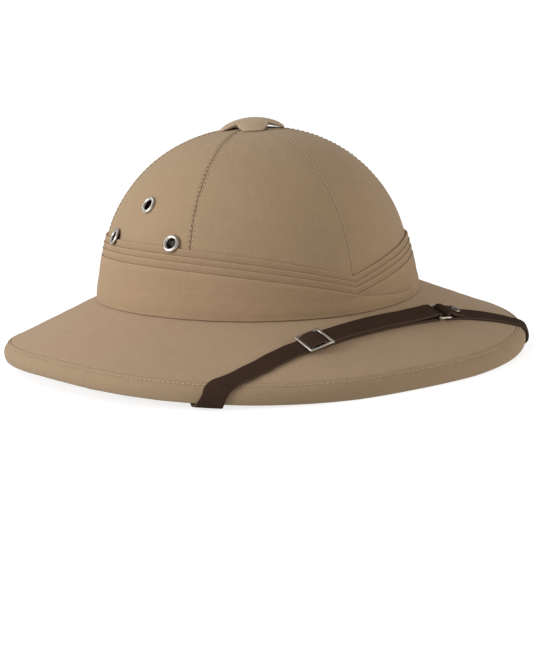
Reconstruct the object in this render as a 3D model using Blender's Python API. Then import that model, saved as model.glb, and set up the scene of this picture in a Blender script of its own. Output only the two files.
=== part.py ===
"""Pith helmet: a cloth-covered stiff crown and brim, a pleated cloth band, a vent cap and a chin strap.

Units are metres, +Z is up and the hat rests on the plane z = 0. The front of the hat looks along -Y and
the wearer's left is +X. An azimuth is 0 at the front and grows towards the wearer's left.
"""
import math

import bmesh
import bpy
from mathutils import Vector

MM = 0.001

# Outline of the brim and the crown
BRIM_LENGTH = 340.0 * MM
BRIM_WIDTH = 301.4 * MM
BRIM_SQUARENESS = 2.35
CROWN_LENGTH = 214.2 * MM
CROWN_WIDTH = 190.8 * MM
CROWN_SQUARENESS = 2.0
CROWN_FULLNESS = 2.16

# Heights above the surface that the hat rests on
RIM_DEPTH = 7.5 * MM
RIM_SIDE_RISE = 7.8 * MM
REST_FLAT = 0.5 * MM
CROWN_FOOT_HEIGHT = 39.8 * MM
CROWN_FOOT_SIDE_RISE = 3.2 * MM
CROWN_FOOT_LEAN = 1.5 * MM
CROWN_HEIGHT = 104.3 * MM
CROWN_LEAN = 3.0 * MM
CROWN_WAIST = 1.0 * MM
CROWN_WAIST_RISE = 55.0 * MM

# Walls
CLOTH = 1.0 * MM
GAP = 0.3 * MM
SHELL_WALL = 4.2 * MM
FOOT_FILLET = 2.5 * MM
VENT_HOLE_RADIUS = 6.0 * MM
PANEL_TOP_RADIUS = 7.5 * MM

# Binding round the rim
SEAM_INSET = 5.05 * MM
SEAM_HEIGHT = 4.42 * MM
BINDING_UNDER_INSET = 9.0 * MM

# Rounded edge of the rim: inset as a share of SEAM_INSET, height as a share of RIM_DEPTH over the fold
RIM_EDGE = (
    # inset, height
    (0.50, 0.38),
    (0.13, 0.08),
    (0.00, -0.22),
    (0.03, -0.62),
    (0.20, -0.90),
    (0.46, -1.00),
    (1.28, -1.00),
)

# Band of cloth round the crown, with three pleats over a plain lower part
BAND_BOTTOM_STANDOFF = 2.6 * MM
BAND_V_DROP = 18.3 * MM
BAND_V_REACH = math.radians(90)
BAND_V_SHARPNESS = 2.6
BAND_BACK_DROP = 3.5 * MM
BAND_LEAN = 1.3 * MM
BAND_ROLL = 2.5 * MM
BAND_SAG = 2.8 * MM
BAND_SAG_AZIMUTH = math.radians(60)
BAND_SAG_REACH = math.radians(14)
LEDGE_RISE = 0.25 * MM
WRAP_END_STEP = 0.6 * MM
WRAP_END_REACH = math.radians(33)
WRAP_END_BEND = 0.74
WRAP_END_SLIT = math.radians(0.05)
BAND_V_TURNS = (math.radians(1.5), math.radians(4.0))
BAND_INNER_STEPS = 3
PLEAT_SQUEEZE = 0.20

# Folded edges of the band at the side of the hat, from the plain part up
PLEATS = (
    # height over the foot, stand-off of the fold, stand-off of the cloth that comes out from behind it
    (28.0 * MM, 1.95 * MM, 1.50 * MM),
    (32.6 * MM, 1.85 * MM, 1.40 * MM),
    (36.3 * MM, 1.75 * MM, 1.30 * MM),
    (40.6 * MM, 1.55 * MM, GAP),
)

# Vent cap
CAP_RADIUS = 20.0 * MM
CAP_NOTCH_RADIUS = 13.6 * MM
CAP_RISE = 5.6 * MM
CAP_WALL = 1.5 * MM
CAP_FULLNESS = 2.1
CAP_LEGS = 4
CAP_TURN = math.radians(-31)
CAP_OFFSET = (2.0 * MM, -1.2 * MM)
LEG_FOOT_HALF_ANGLE = math.radians(21)
LEG_TOP_HALF_ANGLE = math.radians(43)
CAP_RINGS = (0.36, 0.58, 0.78, 0.9, 1.0)

# Eyelets
EYELET_BORE_RADIUS = 3.1 * MM
EYELET_BARREL_RADIUS = 3.6 * MM
EYELET_FLANGE_RADIUS = 5.5 * MM
EYELET_ROLL = 1.3 * MM
EYELET_TAIL_RADIUS = 4.8 * MM
EYELET_TAIL_WALL = 0.6 * MM
EYELET_TAIL_GAP = 1.9 * MM
EYELET_SIDES = 10
EYELET_ROUNDING = (
    # way out over the flange as a share, height as a share of EYELET_ROLL
    (0.0, 0.4),
    (0.3, 1.0),
    (0.72, 0.9),
    (1.0, 0.2),
)
EYELET_PANELS = {1: 1, 4: -1}
EYELETS = (
    # azimuth, height over the foot, seat above the crown cloth, lean over the band's edge
    (math.radians(65.5), 43.8 * MM, 1.5 * MM, math.radians(8)),
    (math.radians(86.1), 64.8 * MM, GAP, 0.0),
    (math.radians(104.5), 44.2 * MM, 1.6 * MM, math.radians(8)),
)

# Leather chin strap
STRAP_WIDTH = 12.7 * MM
STRAP_WALL = 1.5 * MM
STRAP_UNDER_LIFT = 0.7 * MM
SHORT_FOLD_LENGTH = 15.0 * MM
STRAND_REACH = 40.0 * MM
SKEW_START = 10.0 * MM
SKEW_END = 28.0 * MM
SLIDE_AZIMUTH = math.radians(-19.1)
RING_AZIMUTH = math.radians(23.6)

# Way of the strap from the right rivet to the left one. The turn is -1 at the crown's foot on top of the
# brim, 0 at the rim's fold, 1 under the brim at the mouth of the crown and 2 at the rivet inside.
STRAP_ROUTE = (
    # azimuth in degrees, turn, lift as a share of STRAP_WALL
    (-91.0, 2.12, 0.50),
    (-87.0, 1.75, 0.50),
    (-81.5, 1.38, 0.50),
    (-75.0, 1.02, 0.50),
    (-65.0, 0.80, 0.50),
    (-55.4, 0.52, 0.50),
    (-48.0, 0.27, 0.50),
    (-44.2, 0.13, 0.45),
    (-42.7, 0.07, 0.45),
    (-41.3, 0.00, 0.55),
    (-40.1, -0.05, 0.62),
    (-38.4, -0.11, 0.50),
    (-36.7, -0.17, 0.20),
    (-34.8, -0.24, 0.20),
    (-32.6, -0.31, 0.20),
    (-30.3, -0.39, 0.20),
    (-27.7, -0.46, 0.20),
    (-24.7, -0.53, 0.20),
    (-19.1, -0.61, 0.20),
    (-13.4, -0.68, 0.20),
    (-6.6, -0.73, 0.20),
    (-0.2, -0.757, 0.20),
    (7.0, -0.76, 0.20),
    (14.3, -0.738, 0.20),
    (21.4, -0.69, 0.20),
    (25.0, -0.65, 0.20),
    (27.9, -0.612, 0.20),
    (30.7, -0.567, 0.20),
    (33.2, -0.513, 0.20),
    (35.3, -0.456, 0.20),
    (37.5, -0.396, 0.20),
    (39.4, -0.328, 0.20),
    (41.1, -0.255, 0.20),
    (42.5, -0.18, 0.20),
    (43.5, -0.11, 0.20),
    (44.8, -0.03, 0.30),
    (46.6, 0.05, 0.40),
    (49.5, 0.14, 0.45),
    (55.0, 0.35, 0.50),
    (63.0, 0.68, 0.50),
    (72.0, 0.93, 0.50),
    (78.0, 1.15, 0.50),
    (84.0, 1.55, 0.50),
    (89.5, 1.95, 0.50),
    (91.5, 2.12, 0.50),
)

# Rivets at the strap's ends and the stud of the short strap
RIVET_HEIGHT = 30.0 * MM
RIVET_INSET = 7.0 * MM
RIVET_HEAD_RADIUS = 4.5 * MM
RIVET_HEAD_WALL = 1.2 * MM
RIVET_POST_RADIUS = 1.8 * MM
RIVET_BORE_DEPTH = 2.6 * MM
RIVET_ROUNDING = ((1.0, 0.4), (0.6, 1.0))
STUD_RADIUS = 3.1 * MM
STUD_DOME = 1.7 * MM
STUD_POST_RADIUS = 1.4 * MM
STUD_DISTANCE = 9.3 * MM
STUD_SEAT = 1.0 * MM
STUD_SIDES = 12
STUD_ROUNDING = ((1.0, 0.25), (0.72, 0.75))
RIVET_SIDES = 8

# Slide and ring
WIRE = 1.5 * MM
WIRE_SIDES = 8
RING_LENGTH = 10.6 * MM
SLIDE_LENGTH = 17.0 * MM
SLIDE_BAR = 1.6 * MM
SLIDE_WALL = 1.2 * MM
SLIDE_LEAN = 2.0 * MM
SIDE_CLEARANCE = 0.5 * MM
SLIDE_PASS_STOP = 0.85
SLIDE_PASS = (
    # place along the slide from its middle as a share of its length, rise over the lower strand in gaps,
    # rise as a share of the way over the centre bar
    (0.58, 1.0, 0.0),
    (0.36, 1.5, 0.0),
    (0.11, 0.0, 1.0),
    (-0.11, 0.0, 1.0),
    (-0.24, 0.0, 0.75),
)
FOLD_RUN = 4
SHORT_FOLD_FALL = 1.8

# Number of facets
COLUMNS = 42
PANELS = 6
CROWN_ROWS = 8
FILLET_STEPS = 2
BRIM_STEPS = 2
ROUTE_STEPS = 8
FOLD_STEPS = 4
STRAP_STEP = 11.5 * MM


def clear_scene():
    """Remove the objects of the scene that the script runs in."""
    for scene_object in list(bpy.data.objects):
        bpy.data.objects.remove(scene_object, do_unlink=True)


def material(name, colour, roughness, metallic=0.0):
    """A plain material of one sub-part."""
    made = bpy.data.materials.new(name)
    made.use_nodes = True
    shader = made.node_tree.nodes["Principled BSDF"]
    shader.inputs["Base Color"].default_value = (*colour, 1.0)
    shader.inputs["Roughness"].default_value = roughness
    shader.inputs["Metallic"].default_value = metallic
    return made


def cloth_material(name):
    return material(name, (0.36, 0.25, 0.16), 0.9)


def leather_material(name):
    return material(name, (0.035, 0.02, 0.014), 0.5)


def nickel_material(name):
    return material(name, (0.62, 0.6, 0.57), 0.28, 1.0)


def finish_mesh(name, build, look, sharp_angle=math.radians(35)):
    """Turn a bmesh into a named object with its faces pointing out."""
    bmesh.ops.recalc_face_normals(build, faces=build.faces)
    mesh = bpy.data.meshes.new(name)
    build.to_mesh(mesh)
    build.free()
    mesh.shade_smooth()
    mesh.set_sharp_from_angle(angle=sharp_angle)
    mesh.materials.append(look)
    made = bpy.data.objects.new(name, mesh)
    bpy.context.scene.collection.objects.link(made)
    return made


def loft(name, sections, look, closed):
    """A solid through sections of equally many points, closed round or capped at its two ends."""
    build = bmesh.new()
    rows = [[build.verts.new(point) for point in section] for section in sections]
    count = len(rows[0])
    spans = len(rows) if closed else len(rows) - 1
    for i in range(spans):
        here = rows[i]
        there = rows[(i + 1) % len(rows)]
        for j in range(count):
            k = (j + 1) % count
            build.faces.new((here[j], here[k], there[k], there[j]))
    if not closed:
        build.faces.new(rows[0])
        build.faces.new(rows[-1])
    return finish_mesh(name, build, look)


def sheet(name, outer, inner, look):
    """A cloth panel between two grids of points of equal size."""
    build = bmesh.new()
    top = [[build.verts.new(point) for point in row] for row in outer]
    low = [[build.verts.new(point) for point in row] for row in inner]
    last_row = len(top) - 1
    last_column = len(top[0]) - 1
    for i in range(last_row):
        for j in range(last_column):
            build.faces.new((top[i][j], top[i][j + 1], top[i + 1][j + 1], top[i + 1][j]))
            build.faces.new((low[i][j], low[i + 1][j], low[i + 1][j + 1], low[i][j + 1]))
    for i in range(last_row):
        build.faces.new((top[i][0], top[i + 1][0], low[i + 1][0], low[i][0]))
        build.faces.new((top[i][-1], low[i][-1], low[i + 1][-1], top[i + 1][-1]))
    for j in range(last_column):
        build.faces.new((top[0][j], low[0][j], low[0][j + 1], top[0][j + 1]))
        build.faces.new((top[-1][j], top[-1][j + 1], low[-1][j + 1], low[-1][j]))
    return finish_mesh(name, build, look)


def turned(name, profile, sides, place, look):
    """A closed profile of (radius, height) turned about an axis, then put in place by a function."""
    sections = []
    for i in range(sides):
        turn = 2 * math.pi * i / sides
        sections.append([place(r * math.cos(turn), r * math.sin(turn), h) for r, h in profile])
    return loft(name, sections, look, closed=True)


def solid_of_revolution(name, profile, sides, place, look):
    """A turned solid whose profile starts and ends on the axis."""
    build = bmesh.new()
    foot = build.verts.new(place(0, 0, profile[0][1]))
    tip = build.verts.new(place(0, 0, profile[-1][1]))
    rings = []
    for r, h in profile[1:-1]:
        turns = [2 * math.pi * i / sides for i in range(sides)]
        rings.append([build.verts.new(place(r * math.cos(t), r * math.sin(t), h)) for t in turns])
    for i in range(sides):
        k = (i + 1) % sides
        build.faces.new((foot, rings[0][i], rings[0][k]))
        build.faces.new((tip, rings[-1][k], rings[-1][i]))
        for low, high in zip(rings, rings[1:]):
            build.faces.new((low[i], high[i], high[k], low[k]))
    return finish_mesh(name, build, look)


def cut(target, cutter):
    """Cut one object with another, which stays as a guide."""
    cutter.hide_render = True
    cutter.display_type = "WIRE"
    boolean = target.modifiers.new("cut_" + cutter.name, "BOOLEAN")
    boolean.operation = "DIFFERENCE"
    boolean.solver = "EXACT"
    boolean.object = cutter


def at(azimuth, radius, height):
    """The point at an azimuth, a distance from the hat's axis and a height. The crown leans forward a little."""
    lean = CROWN_LEAN * max(0.0, height - CROWN_FOOT_HEIGHT) / CROWN_HEIGHT
    return Vector((radius * math.sin(azimuth), -radius * math.cos(azimuth) - lean, height))


def oval(azimuth, length, width, squareness):
    """Distance from the axis to an oval outline."""
    across = abs(math.sin(azimuth)) / (width / 2)
    along = abs(math.cos(azimuth)) / (length / 2)
    return (across ** squareness + along ** squareness) ** (-1 / squareness)


def crown_radius(azimuth):
    return oval(azimuth, CROWN_LENGTH, CROWN_WIDTH, CROWN_SQUARENESS)


def foot_height(azimuth):
    """Height of the corner between the crown and the brim, a little lower at the front than at the back."""
    return CROWN_FOOT_HEIGHT + CROWN_FOOT_SIDE_RISE * math.sin(azimuth) ** 2 - CROWN_FOOT_LEAN * math.cos(azimuth)


def fold_height(azimuth):
    """Height of the fold of the rim. The front and the back are level, so that the hat rests on them."""
    wave = (RIM_SIDE_RISE + REST_FLAT) * math.sin(azimuth) ** 2 - REST_FLAT
    return RIM_DEPTH + max(0.0, wave)


def waist(height):
    """How far the crown is drawn in at a height, between its foot and its fuller upper part."""
    share = min(max((height - CROWN_FOOT_HEIGHT) / CROWN_WAIST_RISE, 0.0), 1.0)
    return CROWN_WAIST * math.sin(math.pi * share) ** 2


def crown_point(azimuth, height, stand_off=0.0):
    """Radius and height of a point on the crown's cloth, or above it by a stand-off."""
    share = min(max((height - CROWN_FOOT_HEIGHT) / CROWN_HEIGHT, 0.0), 1.0)
    radius = crown_radius(azimuth) * (1 - share ** CROWN_FULLNESS) ** (1 / CROWN_FULLNESS)
    reach = radius / crown_radius(azimuth)
    outward = reach ** (CROWN_FULLNESS - 1) / crown_radius(azimuth)
    upward = share ** (CROWN_FULLNESS - 1) / CROWN_HEIGHT
    size = math.hypot(outward, upward)
    return radius - waist(height) + stand_off * outward / size, height + stand_off * upward / size


def crown_height(azimuth, radius):
    """Height of the crown's cloth at a distance from the axis."""
    reach = radius / crown_radius(azimuth)
    return CROWN_FOOT_HEIGHT + CROWN_HEIGHT * (1 - reach ** CROWN_FULLNESS) ** (1 / CROWN_FULLNESS)


def brim_slope(azimuth):
    """Angle at which the brim falls from the crown's foot to the seam of the binding."""
    run = oval(azimuth, BRIM_LENGTH, BRIM_WIDTH, BRIM_SQUARENESS) - SEAM_INSET - crown_radius(azimuth)
    fall = foot_height(azimuth) - fold_height(azimuth) - SEAM_HEIGHT
    return math.atan2(fall, run)


def crown_arc(azimuth, top_radius):
    """Points down the crown from a radius near the top to the start of the fillet at its foot."""
    radius = crown_radius(azimuth)
    tangent = FOOT_FILLET * math.tan((math.pi / 2 - brim_slope(azimuth)) / 2)
    foot_share = max(0.0, foot_height(azimuth) + tangent - CROWN_FOOT_HEIGHT) / CROWN_HEIGHT
    first = math.asin((top_radius / radius) ** (CROWN_FULLNESS / 2))
    last = math.acos(foot_share ** (CROWN_FULLNESS / 2))
    points = []
    for i in range(CROWN_ROWS + 1):
        turn = first + (last - first) * i / CROWN_ROWS
        r = radius * math.sin(turn) ** (2 / CROWN_FULLNESS)
        z = CROWN_FOOT_HEIGHT + CROWN_HEIGHT * math.cos(turn) ** (2 / CROWN_FULLNESS)
        points.append((r - waist(z), z))
    return points


def brim_line(azimuth):
    """Points from the end of the fillet at the crown's foot out to the seam of the binding."""
    slope = brim_slope(azimuth)
    radius = crown_radius(azimuth)
    tangent = FOOT_FILLET * math.tan((math.pi / 2 - slope) / 2)
    centre = (radius + FOOT_FILLET, foot_height(azimuth) + tangent)
    points = []
    for i in range(1, FILLET_STEPS + 1):
        turn = math.pi + (math.pi / 2 - slope) * i / FILLET_STEPS
        points.append((centre[0] + FOOT_FILLET * math.cos(turn), centre[1] + FOOT_FILLET * math.sin(turn)))
    start = points[-1]
    seam = seam_point(azimuth)
    for i in range(1, BRIM_STEPS + 1):
        share = i / BRIM_STEPS
        points.append((start[0] + (seam[0] - start[0]) * share, start[1] + (seam[1] - start[1]) * share))
    return points


def seam_point(azimuth):
    outline = oval(azimuth, BRIM_LENGTH, BRIM_WIDTH, BRIM_SQUARENESS)
    return outline - SEAM_INSET, fold_height(azimuth) + SEAM_HEIGHT


def rim_line(azimuth):
    """Points round the outside of the binding, from its seam on top to its edge under the brim."""
    outline = oval(azimuth, BRIM_LENGTH, BRIM_WIDTH, BRIM_SQUARENESS)
    fold = fold_height(azimuth)
    slope = brim_slope(azimuth)
    points = [seam_point(azimuth)]
    for inset, height in RIM_EDGE:
        points.append((outline - inset * SEAM_INSET, fold + height * RIM_DEPTH))
    walls = 2 * (CLOTH + GAP) + SHELL_WALL
    under = SEAM_HEIGHT + (BINDING_UNDER_INSET - SEAM_INSET) * math.tan(slope) - walls / math.cos(slope)
    points.append((outline - BINDING_UNDER_INSET, fold + under))
    return points


def offset(points, distance):
    """Move an open line of (radius, height) points sideways, to its right for a positive distance."""
    moved = []
    for i, point in enumerate(points):
        before = points[max(i - 1, 0)]
        after = points[min(i + 1, len(points) - 1)]
        sides = []
        for a, b in ((before, point), (point, after)):
            length = math.hypot(b[0] - a[0], b[1] - a[1])
            if length > 0:
                sides.append(((b[1] - a[1]) / length, (a[0] - b[0]) / length))
        normal = (sides[0][0] + sides[-1][0], sides[0][1] + sides[-1][1])
        size = math.hypot(*normal)
        spread = size / 2
        reach = distance / max(spread, 0.5) / size
        moved.append((point[0] + normal[0] * reach, point[1] + normal[1] * reach))
    return moved


def column(number):
    """Azimuth of a column of facets. The columns are evenly spread by the crown's own angle."""
    turn = 2 * math.pi * number / COLUMNS
    return math.atan2(CROWN_WIDTH * math.sin(turn), CROWN_LENGTH * math.cos(turn)) % (2 * math.pi)


def columns():
    return [column(number) for number in range(COLUMNS)]


def coarse_rim(points):
    """Every other point of a line round the rim, for faces that the cloth hides."""
    return points[::2] + points[-1:]


def shell():
    """The stiff crown and brim in one piece, with a bead along the rim and a hole under the vent cap."""
    sections = []
    under_cloth = CLOTH + GAP
    for azimuth in columns():
        top = crown_arc(azimuth, VENT_HOLE_RADIUS) + brim_line(azimuth)
        rim = rim_line(azimuth)
        outer = offset(top + rim[1:], under_cloth)
        outer = outer[:len(top)] + coarse_rim(outer[len(top):])
        outer[0] = (VENT_HOLE_RADIUS, outer[0][1])
        inner = offset(top, under_cloth + SHELL_WALL)[:-1]
        inner[0] = (VENT_HOLE_RADIUS, inner[0][1])
        sections.append([at(azimuth, r, z) for r, z in outer + inner[::-1]])
    return loft("shell", sections, cloth_material("shell"), closed=True)


def crown_panels(drills):
    """Six gores of cloth with a fine gap between them, where their seams are."""
    steps = COLUMNS // PANELS
    made = []
    for number in range(PANELS):
        outer = []
        inner = []
        for row in range(CROWN_ROWS + 1):
            outer.append([])
            inner.append([])
        for step in range(steps + 1):
            azimuth = column(number * steps + step)
            arc = crown_arc(azimuth, PANEL_TOP_RADIUS)
            low = offset(arc, CLOTH)
            shift = GAP / 2 * ((step == 0) - (step == steps))
            sideways = Vector((math.cos(azimuth), math.sin(azimuth), 0)) * shift
            for row in range(CROWN_ROWS + 1):
                outer[row].append(at(azimuth, *arc[row]) + sideways)
                inner[row].append(at(azimuth, *low[row]) + sideways)
        name = f"crown_panel_{number + 1}"
        panel = sheet(name, outer, inner, cloth_material(name))
        if number in EYELET_PANELS:
            cut(panel, drills[EYELET_PANELS[number]])
        made.append(panel)
    return made


def brim_cover():
    """Cloth over the top of the brim, from the crown's foot to the seam of the binding."""
    sections = []
    for azimuth in columns():
        top = brim_line(azimuth)
        low = offset(top, CLOTH)
        slope = brim_slope(azimuth)
        top[-1] = (top[-1][0] - GAP * math.cos(slope), top[-1][1] + GAP * math.sin(slope))
        low[-1] = (low[-1][0] - GAP * math.cos(slope), low[-1][1] + GAP * math.sin(slope))
        sections.append([at(azimuth, r, z) for r, z in top + low[::-1]])
    return loft("brim_cover", sections, cloth_material("brim_cover"), closed=True)


def rim_binding():
    """Cloth tape folded round the edge of the brim."""
    sections = []
    for azimuth in columns():
        outer = rim_line(azimuth)
        inner = offset(outer, CLOTH)
        inner = inner[:1] + coarse_rim(inner[1:])
        sections.append([at(azimuth, r, z) for r, z in outer + inner[::-1]])
    return loft("rim_binding", sections, cloth_material("rim_binding"), closed=True)


def band_drop(azimuth):
    """How far the folds of the band lie below their height at the side."""
    turn = abs(math.remainder(azimuth, 2 * math.pi))
    if turn < BAND_V_REACH:
        return BAND_V_DROP * (1 - turn / BAND_V_REACH) ** BAND_V_SHARPNESS
    return BAND_BACK_DROP * math.sin(turn - math.pi / 2) ** 2


def pleat_height(azimuth, pleat):
    """Height of one folded edge of the band. The folds lie closer together in the V at the front."""
    drop = band_drop(azimuth)
    height = pleat[0] + CROWN_FOOT_HEIGHT
    squeeze = 1 + PLEAT_SQUEEZE * (pleat[0] / PLEATS[0][0] - 1)
    away = math.remainder(azimuth - BAND_SAG_AZIMUTH, 2 * math.pi) / BAND_SAG_REACH
    sag = BAND_SAG * math.exp(-away * away)
    return height - drop * squeeze - sag - BAND_LEAN * math.cos(azimuth) - BAND_ROLL * math.sin(azimuth)


def wrap_end_height(azimuth):
    """Height of the end of the cloth that tapers over the band to the left of the V."""
    turn = math.remainder(azimuth, 2 * math.pi)
    share = min(max(turn / WRAP_END_REACH, 0.0), 1.0)
    top = pleat_height(0.0, PLEATS[0])
    low = foot_height(azimuth) + FOOT_FILLET
    return top + (low - top) * share ** WRAP_END_BEND


def band_section(azimuth):
    """Closed section of the band: up its inner face, over the top and down its pleated outer face."""
    turn = math.remainder(azimuth, 2 * math.pi)
    foot = foot_height(azimuth)
    folds = [pleat_height(azimuth, pleat) for pleat in PLEATS]
    top = folds[-1]
    inner = offset(brim_line(azimuth)[:FILLET_STEPS + 1], -GAP)[FILLET_STEPS - 1::-1]
    start = foot + FOOT_FILLET
    for i in range(BAND_INNER_STEPS + 1):
        inner.append(crown_point(azimuth, start + (top - start) * i / BAND_INNER_STEPS, GAP))
    outer = [crown_point(azimuth, top, PLEATS[-1][1])]
    for i in range(len(PLEATS) - 2, -1, -1):
        outer.append(crown_point(azimuth, folds[i] + LEDGE_RISE, PLEATS[i][2]))
        outer.append(crown_point(azimuth, folds[i], PLEATS[i][1]))
    step = WRAP_END_STEP if 0 < turn < WRAP_END_REACH else 0.0
    crossing = min(wrap_end_height(azimuth), folds[0] - 2 * LEDGE_RISE)
    if turn <= 0 or turn >= WRAP_END_REACH:
        crossing = foot + (folds[0] - foot) / 2
    outer.append(crown_point(azimuth, crossing + LEDGE_RISE, PLEATS[0][1] - step))
    outer.append(crown_point(azimuth, crossing - LEDGE_RISE, PLEATS[0][1]))
    slope = brim_slope(azimuth)
    reach = crown_radius(azimuth) + BAND_BOTTOM_STANDOFF
    on_brim = foot - BAND_BOTTOM_STANDOFF * math.tan(slope) + GAP / math.cos(slope)
    outer.append((reach, on_brim + CLOTH))
    outer.append((reach, on_brim))
    return inner + outer


def pugaree(drills):
    """The band of cloth round the crown, in one ring."""
    turns = columns()
    for turn in BAND_V_TURNS:
        turns.append(turn)
        turns.append(2 * math.pi - turn)
    turns.append(WRAP_END_REACH - WRAP_END_SLIT)
    sections = []
    for azimuth in sorted(turns):
        sections.append([at(azimuth, r, z) for r, z in band_section(azimuth)])
    band = loft("pugaree", sections, cloth_material("pugaree"), closed=True)
    for drill in drills.values():
        cut(band, drill)
    return band


def cap_edge_radius(turn):
    """Distance from the cap's centre to its edge: long at the legs, short at the notches."""
    quarter = 2 * math.pi / CAP_LEGS
    away = abs(math.remainder(turn, quarter))
    if away <= LEG_FOOT_HALF_ANGLE:
        return CAP_RADIUS
    if away >= LEG_TOP_HALF_ANGLE:
        return CAP_NOTCH_RADIUS
    share = (away - LEG_FOOT_HALF_ANGLE) / (LEG_TOP_HALF_ANGLE - LEG_FOOT_HALF_ANGLE)
    return CAP_RADIUS + (CAP_NOTCH_RADIUS - CAP_RADIUS) * share


def vent_cap():
    """Cloth-covered cap that stands on the crown on four legs, open between them."""
    quarter = 2 * math.pi / CAP_LEGS
    half = (0.0, LEG_FOOT_HALF_ANGLE / 2, LEG_FOOT_HALF_ANGLE, LEG_TOP_HALF_ANGLE)
    foot_stand = GAP + CAP_WALL
    build = bmesh.new()
    top_rows = []
    low_rows = []
    turns = []
    for leg in range(CAP_LEGS):
        for away in (*[-a for a in half[:0:-1]], *half, quarter / 2):
            turns.append(leg * quarter + away)
    base = crown_height(0.0, CAP_RADIUS) + foot_stand
    for turn in turns:
        edge = cap_edge_radius(turn)
        top_row = []
        low_row = []
        for share in CAP_RINGS:
            r = edge * share
            bend = (r / CAP_RADIUS) ** CAP_FULLNESS
            slope = CAP_RISE * CAP_FULLNESS * (r / CAP_RADIUS) ** (CAP_FULLNESS - 1) / CAP_RADIUS
            x = CAP_OFFSET[0] + r * math.sin(turn + CAP_TURN)
            y = CAP_OFFSET[1] - r * math.cos(turn + CAP_TURN)
            azimuth = math.atan2(x, -y)
            radius = math.hypot(x, y)
            crown = crown_height(azimuth, radius)
            z = max(base + CAP_RISE * (1 - bend), crown + foot_stand)
            drop = CAP_WALL * math.hypot(1, slope)
            top_row.append(build.verts.new(at(azimuth, radius, z)))
            low_row.append(build.verts.new(at(azimuth, radius, max(z - drop, crown + GAP))))
        top_rows.append(top_row)
        low_rows.append(low_row)
    crest = base + CAP_RISE
    middle = math.atan2(CAP_OFFSET[0], -CAP_OFFSET[1])
    tip = build.verts.new(at(middle, math.hypot(*CAP_OFFSET), crest))
    hollow = build.verts.new(at(middle, math.hypot(*CAP_OFFSET), crest - CAP_WALL))
    for i in range(len(turns)):
        k = (i + 1) % len(turns)
        build.faces.new((tip, top_rows[i][0], top_rows[k][0]))
        build.faces.new((hollow, low_rows[k][0], low_rows[i][0]))
        for j in range(len(CAP_RINGS) - 1):
            build.faces.new((top_rows[i][j], top_rows[i][j + 1], top_rows[k][j + 1], top_rows[k][j]))
            build.faces.new((low_rows[i][j], low_rows[k][j], low_rows[k][j + 1], low_rows[i][j + 1]))
        build.faces.new((top_rows[i][-1], low_rows[i][-1], low_rows[k][-1], top_rows[k][-1]))
    return finish_mesh("vent_cap", build, cloth_material("vent_cap"))


def eyelet_seat(side, row):
    """Seat and lean of an eyelet: over the band's edge where the band reaches it, else flat on the crown."""
    azimuth, height, seat, lean = row
    if pleat_height(side * azimuth, PLEATS[-1]) > CROWN_FOOT_HEIGHT + height - EYELET_FLANGE_RADIUS:
        return seat, lean
    return GAP, 0.0


def eyelet_place(side, row):
    """Function that puts a point of an eyelet, given along and round its axis, on the crown."""
    azimuth, height = row[:2]
    lean = eyelet_seat(side, row)[1]
    azimuth *= side
    height += CROWN_FOOT_HEIGHT
    base = at(azimuth, *crown_point(azimuth, height))
    tip = at(azimuth, *crown_point(azimuth, height, MM))
    out = (tip - base).normalized()
    sideways = Vector((math.cos(azimuth), math.sin(azimuth), 0))
    up = out.cross(sideways)
    if up.z < 0:
        up = -up
    leaned = out * math.cos(lean) + up * math.sin(lean)
    raised = up * math.cos(lean) - out * math.sin(lean)
    return lambda x, y, h: base + sideways * x + raised * y + leaned * h


def eyelet_drill(side, name):
    """Three cylinders that make room for the eyelets of one side."""
    build = bmesh.new()
    radius = EYELET_BARREL_RADIUS + GAP
    depth = 3 * SHELL_WALL
    for row in EYELETS:
        place = eyelet_place(side, row)
        ends = []
        for h in (-depth, depth / 2):
            turns = [2 * math.pi * i / EYELET_SIDES for i in range(EYELET_SIDES)]
            ends.append([build.verts.new(place(radius * math.cos(t), radius * math.sin(t), h)) for t in turns])
        build.faces.new(ends[0])
        build.faces.new(ends[1])
        for i in range(EYELET_SIDES):
            k = (i + 1) % EYELET_SIDES
            build.faces.new((ends[0][i], ends[0][k], ends[1][k], ends[1][i]))
    return finish_mesh(name, build, nickel_material(name))


def eyelet(name, side, row):
    """Rolled nickel eyelet through the cloth and the shell."""
    seat = eyelet_seat(side, row)[0]
    tail = CLOTH + GAP + SHELL_WALL + EYELET_TAIL_GAP
    flange = EYELET_FLANGE_RADIUS - EYELET_BORE_RADIUS
    profile = [(EYELET_BORE_RADIUS, -tail - EYELET_TAIL_WALL)]
    for out, height in EYELET_ROUNDING:
        profile.append((EYELET_BORE_RADIUS + out * flange, seat + height * EYELET_ROLL))
    profile += [
        (EYELET_BARREL_RADIUS, seat),
        (EYELET_BARREL_RADIUS, -tail),
        (EYELET_TAIL_RADIUS, -tail),
        (EYELET_TAIL_RADIUS, -tail - EYELET_TAIL_WALL),
    ]
    return turned(name, profile, EYELET_SIDES, eyelet_place(side, row), nickel_material(name))


def skin_line(azimuth):
    """Line that the strap follows and the point of it that is the rim's fold.

    It runs down the brim, round the rim, back under the brim and up inside the crown.
    """
    top = brim_line(azimuth)
    rim = rim_line(azimuth)
    arc = crown_arc(azimuth, PANEL_TOP_RADIUS)
    inside = offset(arc + top, CLOTH + GAP + SHELL_WALL)
    start = top[FILLET_STEPS - 1:-1]
    back = inside[len(arc) + len(top) - 2:0:-1]
    fold = len(start) + 2
    mouth = len(start) + len(rim) + BRIM_STEPS
    return start + rim + back, fold, mouth


def skin_lengths(azimuth):
    """Length of the skin from the rim's fold up to the crown's foot, under to the mouth and up to the rivet."""
    points, fold, mouth = skin_line(azimuth)
    spans = [math.dist(a, b) for a, b in zip(points, points[1:])]
    return sum(spans[:fold]), sum(spans[fold:mouth]), RIVET_HEIGHT


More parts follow.
